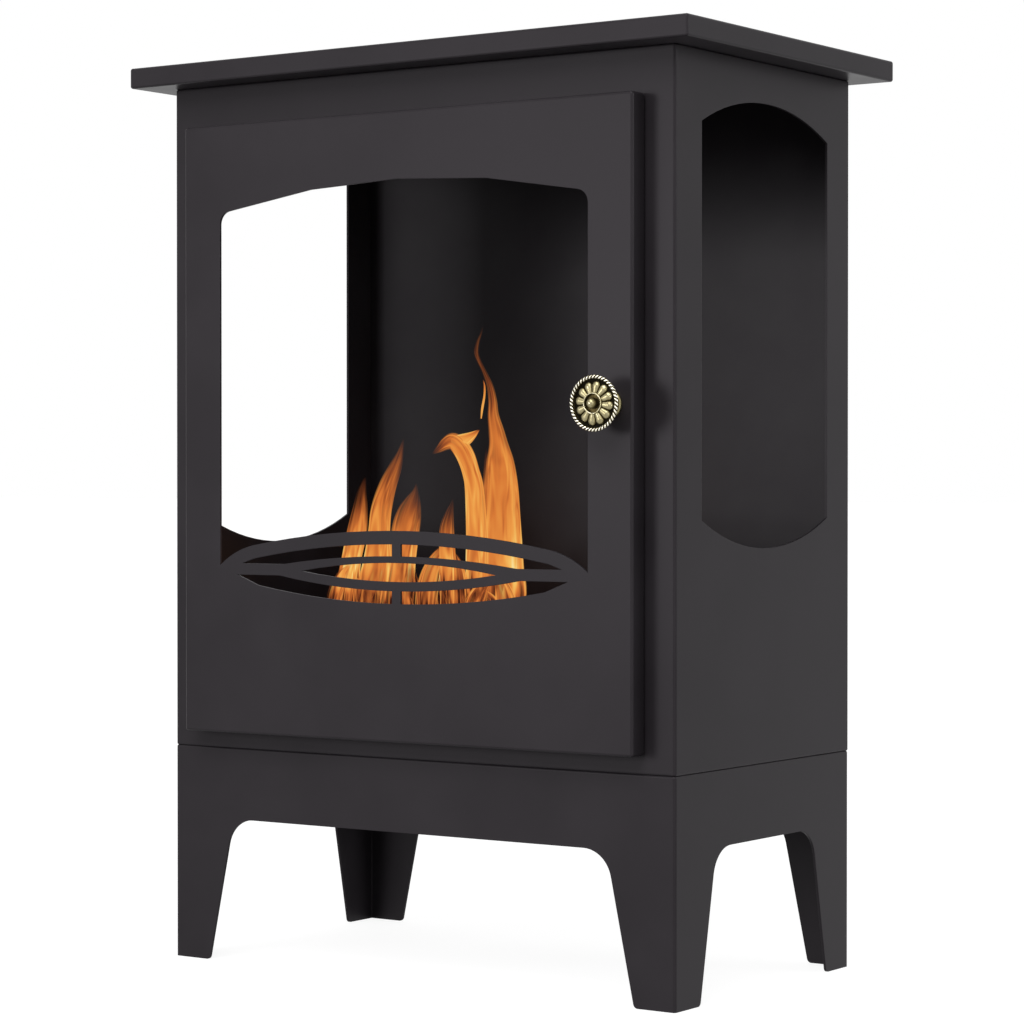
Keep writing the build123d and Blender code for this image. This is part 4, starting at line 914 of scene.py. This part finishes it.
# %% Where the large tongues stand
FOOT = 203  # height where the tongues stand in the wool
TONGUES = {
    "left_small": (6, [(-133.5, FOOT, 9.5), (-133.6, 226.2, 9.2), (-130.6, 245.6, 7.7),
                       (-125.7, 264.4, 7.7), (-123.2, 279.2, 5.7), (-122.0, 289.5, 3.6),
                       (-119.2, 299.1, 0.8)]),
    "left_big": (-2, [(-111, FOOT, 12.5), (-108.0, 223.8, 12.2), (-103.5, 246.2, 10.4),
                      (-101.9, 264.7, 8.4), (-100.3, 278.1, 8.0), (-95.5, 292.7, 6.8),
                      (-89.1, 305.4, 4.9), (-85.1, 314.9, 2.4), (-82.4, 323.8, 0.5)]),
    "middle": (8, [(-95, FOOT, 10), (-93.5, 223.8, 11.2), (-91.1, 246.2, 10.3), (-88.7, 264.7, 10.7),
                   (-85.9, 274.9, 9.5), (-83.1, 282.6, 6.7), (-80.7, 290.2, 2.4), (-80.0, 295.3, 0.4)]),
    "small": (-6, [(-44, FOOT, 7), (-44.7, 228.4, 6.2), (-45.5, 247.2, 6.2), (-45.9, 265.3, 5.6),
                   (-44.0, 275.4, 3.5), (-42.0, 282.2, 1.4), (-41.6, 286.0, 0.3)]),
    "curl": (-8, [(-21.4, FOOT, 8.0), (-21.4, 226, 8.4), (-21.4, 247.6, 8.4), (-21.4, 264.2, 8.0),
                  (-23.2, 291.5, 7.0), (-25.8, 302.1, 6.4), (-29.4, 311.2, 6.6), (-34.0, 317.6, 6.4),
                  (-39.6, 321.4, 5.6), (-45.0, 320.0, 4.4), (-49.8, 317.0, 2.8), (-55.6, 313.6, 0.4)]),
    "curl_spur": (-8, [(-41.0, 322.0, 1.2), (-36.0, 321.6, 3.8), (-30.0, 322.4, 4.2),
                       (-24.6, 325.0, 2.6), (-19.4, 328.4, 0.3)]),
    "tall": (0, [(-12, FOOT, 13), (-7.7, 224.7, 17.4), (-8.5, 241.4, 16.6), (-9.3, 258.8, 15.9),
                 (-9.3, 276.2, 14.4), (-8.9, 293.5, 12.5), (-9.6, 308.4, 10.2), (-10.8, 319.6, 7.0),
                 (-12.4, 327.6, 5.7), (-14.6, 337.2, 4.2), (-15.1, 346.3, 3.2), (-17.2, 355.6, 2.4),
                 (-21.8, 365.1, 1.5), (-25.5, 371.4, 1.5), (-27.5, 377.0, 1.8), (-26.4, 383.2, 1.4),
                 (-24.1, 388.1, 0.8), (-22.2, 393.0, 0.3)]),
    "tall_left": (-4, [(-19, FOOT, 5), (-18.6, 225.8, 4.6), (-18.6, 256.9, 4.1), (-18.2, 272.4, 4.0),
                       (-17.8, 284.8, 3.4), (-17.1, 297.2, 2.4), (-17.1, 308.4, 1.5),
                       (-17.1, 317.7, 0.3)]),
    "wisp": (-3, [(-21.7, 335.4, 0.3), (-20.9, 341.5, 0.8), (-19.3, 349.1, 0.7), (-19.1, 355.2, 0.5),
                  (-20.3, 359.7, 0.2)]),
}
# Birth and delay of the rise of some tongues, which the next step explains.
LIVES = {"tall": (0.2, 1.0), "curl": (0.42, 7.0), "curl_spur": (0.3, 6.0), "wisp": (0.3, 4.0)}
print("large tongues:", len(TONGUES))

# %% [markdown]
# A smooth curve runs through the stations of a tongue, and rings stand square to it: wide across
# the view, thinner in depth, with lobes that wander round as they rise. A curve object with a bevel
# could make the tube, but it can't store the values that the finish reads.

# %% From stations to a tongue
BURNER_Y = mouth_middle_y / MM
SPINE_STEPS, RING_POINTS = 6, 32
THICKNESS, THINNEST = 0.42, 0.4  # depth against width, and the least half depth
FLOW_APART = 60  # between two tongues in the noise, so that they differ


def curve_value(a, b, c, d, t):
    """Value at t on the smooth curve from b to c, with a before them and d after."""
    bend, twist = 2 * a - 5 * b + 4 * c - d, 3 * b - a - 3 * c + d
    return 0.5 * (2 * b + (c - a) * t + bend * t ** 2 + twist * t ** 3)


def curve_through(stations):
    """More stations on a smooth curve through the given ones."""
    ends = [stations[0]] + list(stations) + [stations[-1]]
    dense = []
    for i in range(1, len(ends) - 2):
        for step in range(SPINE_STEPS):
            t = step / SPINE_STEPS
            dense.append(tuple(curve_value(*four, t) for four in zip(*ends[i - 1:i + 3])))
    return dense + [tuple(stations[-1])]


def tongue(depth, stations, seed, birth=0.0, delay=1.0):
    """One tongue's points and faces, and the rise, rim and flow of each point.

    Rise starts at birth, and a delay over 1 keeps the tongue bright until nearer its tip.
    """
    spine = curve_through(stations)
    lengths = [0.0]
    for before, after in zip(spine, spine[1:]):
        lengths.append(lengths[-1] + sqrt((after[0] - before[0]) ** 2 + (after[1] - before[1]) ** 2))
    start = spine[0][1] - FOOT
    rings, rise, rim, flow = [], [], [], []
    for i, (x, z, half) in enumerate(spine):
        before, after = spine[max(0, i - 1)], spine[min(len(spine) - 1, i + 1)]
        tangent = Vector((after[0] - before[0], 0, after[1] - before[1])).normalized()
        side = Vector((tangent.z, 0, -tangent.x))
        share = lengths[i] / lengths[-1]
        ring = []
        for k in range(RING_POINTS):
            turn = 2 * pi * k / RING_POINTS
            lobe = 1 + 0.16 * sin(3 * turn + 4 * share + seed)
            lobe += 0.08 * sin(5 * turn - 7 * share + 2 * seed)
            across = half * cos(turn)
            thick = max(THINNEST, THICKNESS * half) * sin(turn) * lobe
            ring.append((x + side.x * across, BURNER_Y + depth + thick, z + side.z * across))
            rise.append(birth + (1 - birth) * share ** delay)
            rim.append(abs(cos(turn)))
            flow.append((across, FLOW_APART * seed + 3 * sin(turn), start + lengths[i]))
        rings.append(ring)
    first = (spine[0][0], BURNER_Y + depth, spine[0][1])
    last = (spine[-1][0], BURNER_Y + depth, spine[-1][1])
    points, faces = ring_mesh(rings, first, last)
    flow += [(0.0, FLOW_APART * seed, start), (0.0, FLOW_APART * seed, start + lengths[-1])]
    return (points, faces), rise + [birth, 1.0], rim + [0.0, 0.0], flow


flame_parts, flame_numbers = [], {"rise": [], "rim": [], "flow": []}


def light(*how):
    """Add one tongue to the flames, with its three values."""
    part, *values = tongue(*how)
    flame_parts.append(part)
    for kept, new in zip(flame_numbers.values(), values):
        kept += new


for order, (name, (depth, stations)) in enumerate(TONGUES.items()):
    light(depth, stations, order * 1.7, *LIVES.get(name, ()))
print("large tongues lit:", len(flame_parts))

# %% [markdown]
# The whole mouth burns, so a row of low flames stands between the large ones. They are drawn at
# random from a fixed seed, so every run gives the same fire.

# %% Low flames over the mouth
random.seed(11)
LOW_FLAMES = 15
LOW_LEFT, LOW_SPAN = -138, 140  # where their row starts, and how long it is
ROOTS = (-137, -5)  # the roots stay between these two in X
SHIFTS, TIPS, LEANS = (-3, 3), (24, 54), (-15, 15)  # off even spacing, height, tip off the root
HALVES, DEPTHS = (5, 9), (-14, 14)  # half width, place in the mouth's depth
for i in range(LOW_FLAMES):
    x = LOW_LEFT + LOW_SPAN * i / (LOW_FLAMES - 1) + random.uniform(*SHIFTS)
    tip = random.uniform(*TIPS)
    lean = random.uniform(*LEANS)
    half = random.uniform(*HALVES)
    stations = [
        (max(ROOTS[0], min(ROOTS[1], x)), FOOT, half * 0.8),
        (x - lean * 0.1, FOOT + tip * 0.3, half),
        (x + lean * 0.1, FOOT + tip * 0.6, half * 0.9),
        (x + lean * 0.5, FOOT + tip * 0.85, half * 0.5),
        (x + lean, FOOT + tip, 0.4),
    ]
    light(random.uniform(*DEPTHS), stations, i * 2.3, 0.0, 2.0)
flames = make_piece("flames", flame_parts, flame, "burner", 180, flame_numbers)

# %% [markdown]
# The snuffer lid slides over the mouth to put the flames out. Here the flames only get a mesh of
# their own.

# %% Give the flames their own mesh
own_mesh(flames)
print("flames top:", round(max(v.co.z for v in flames.data.vertices), 3), "m")
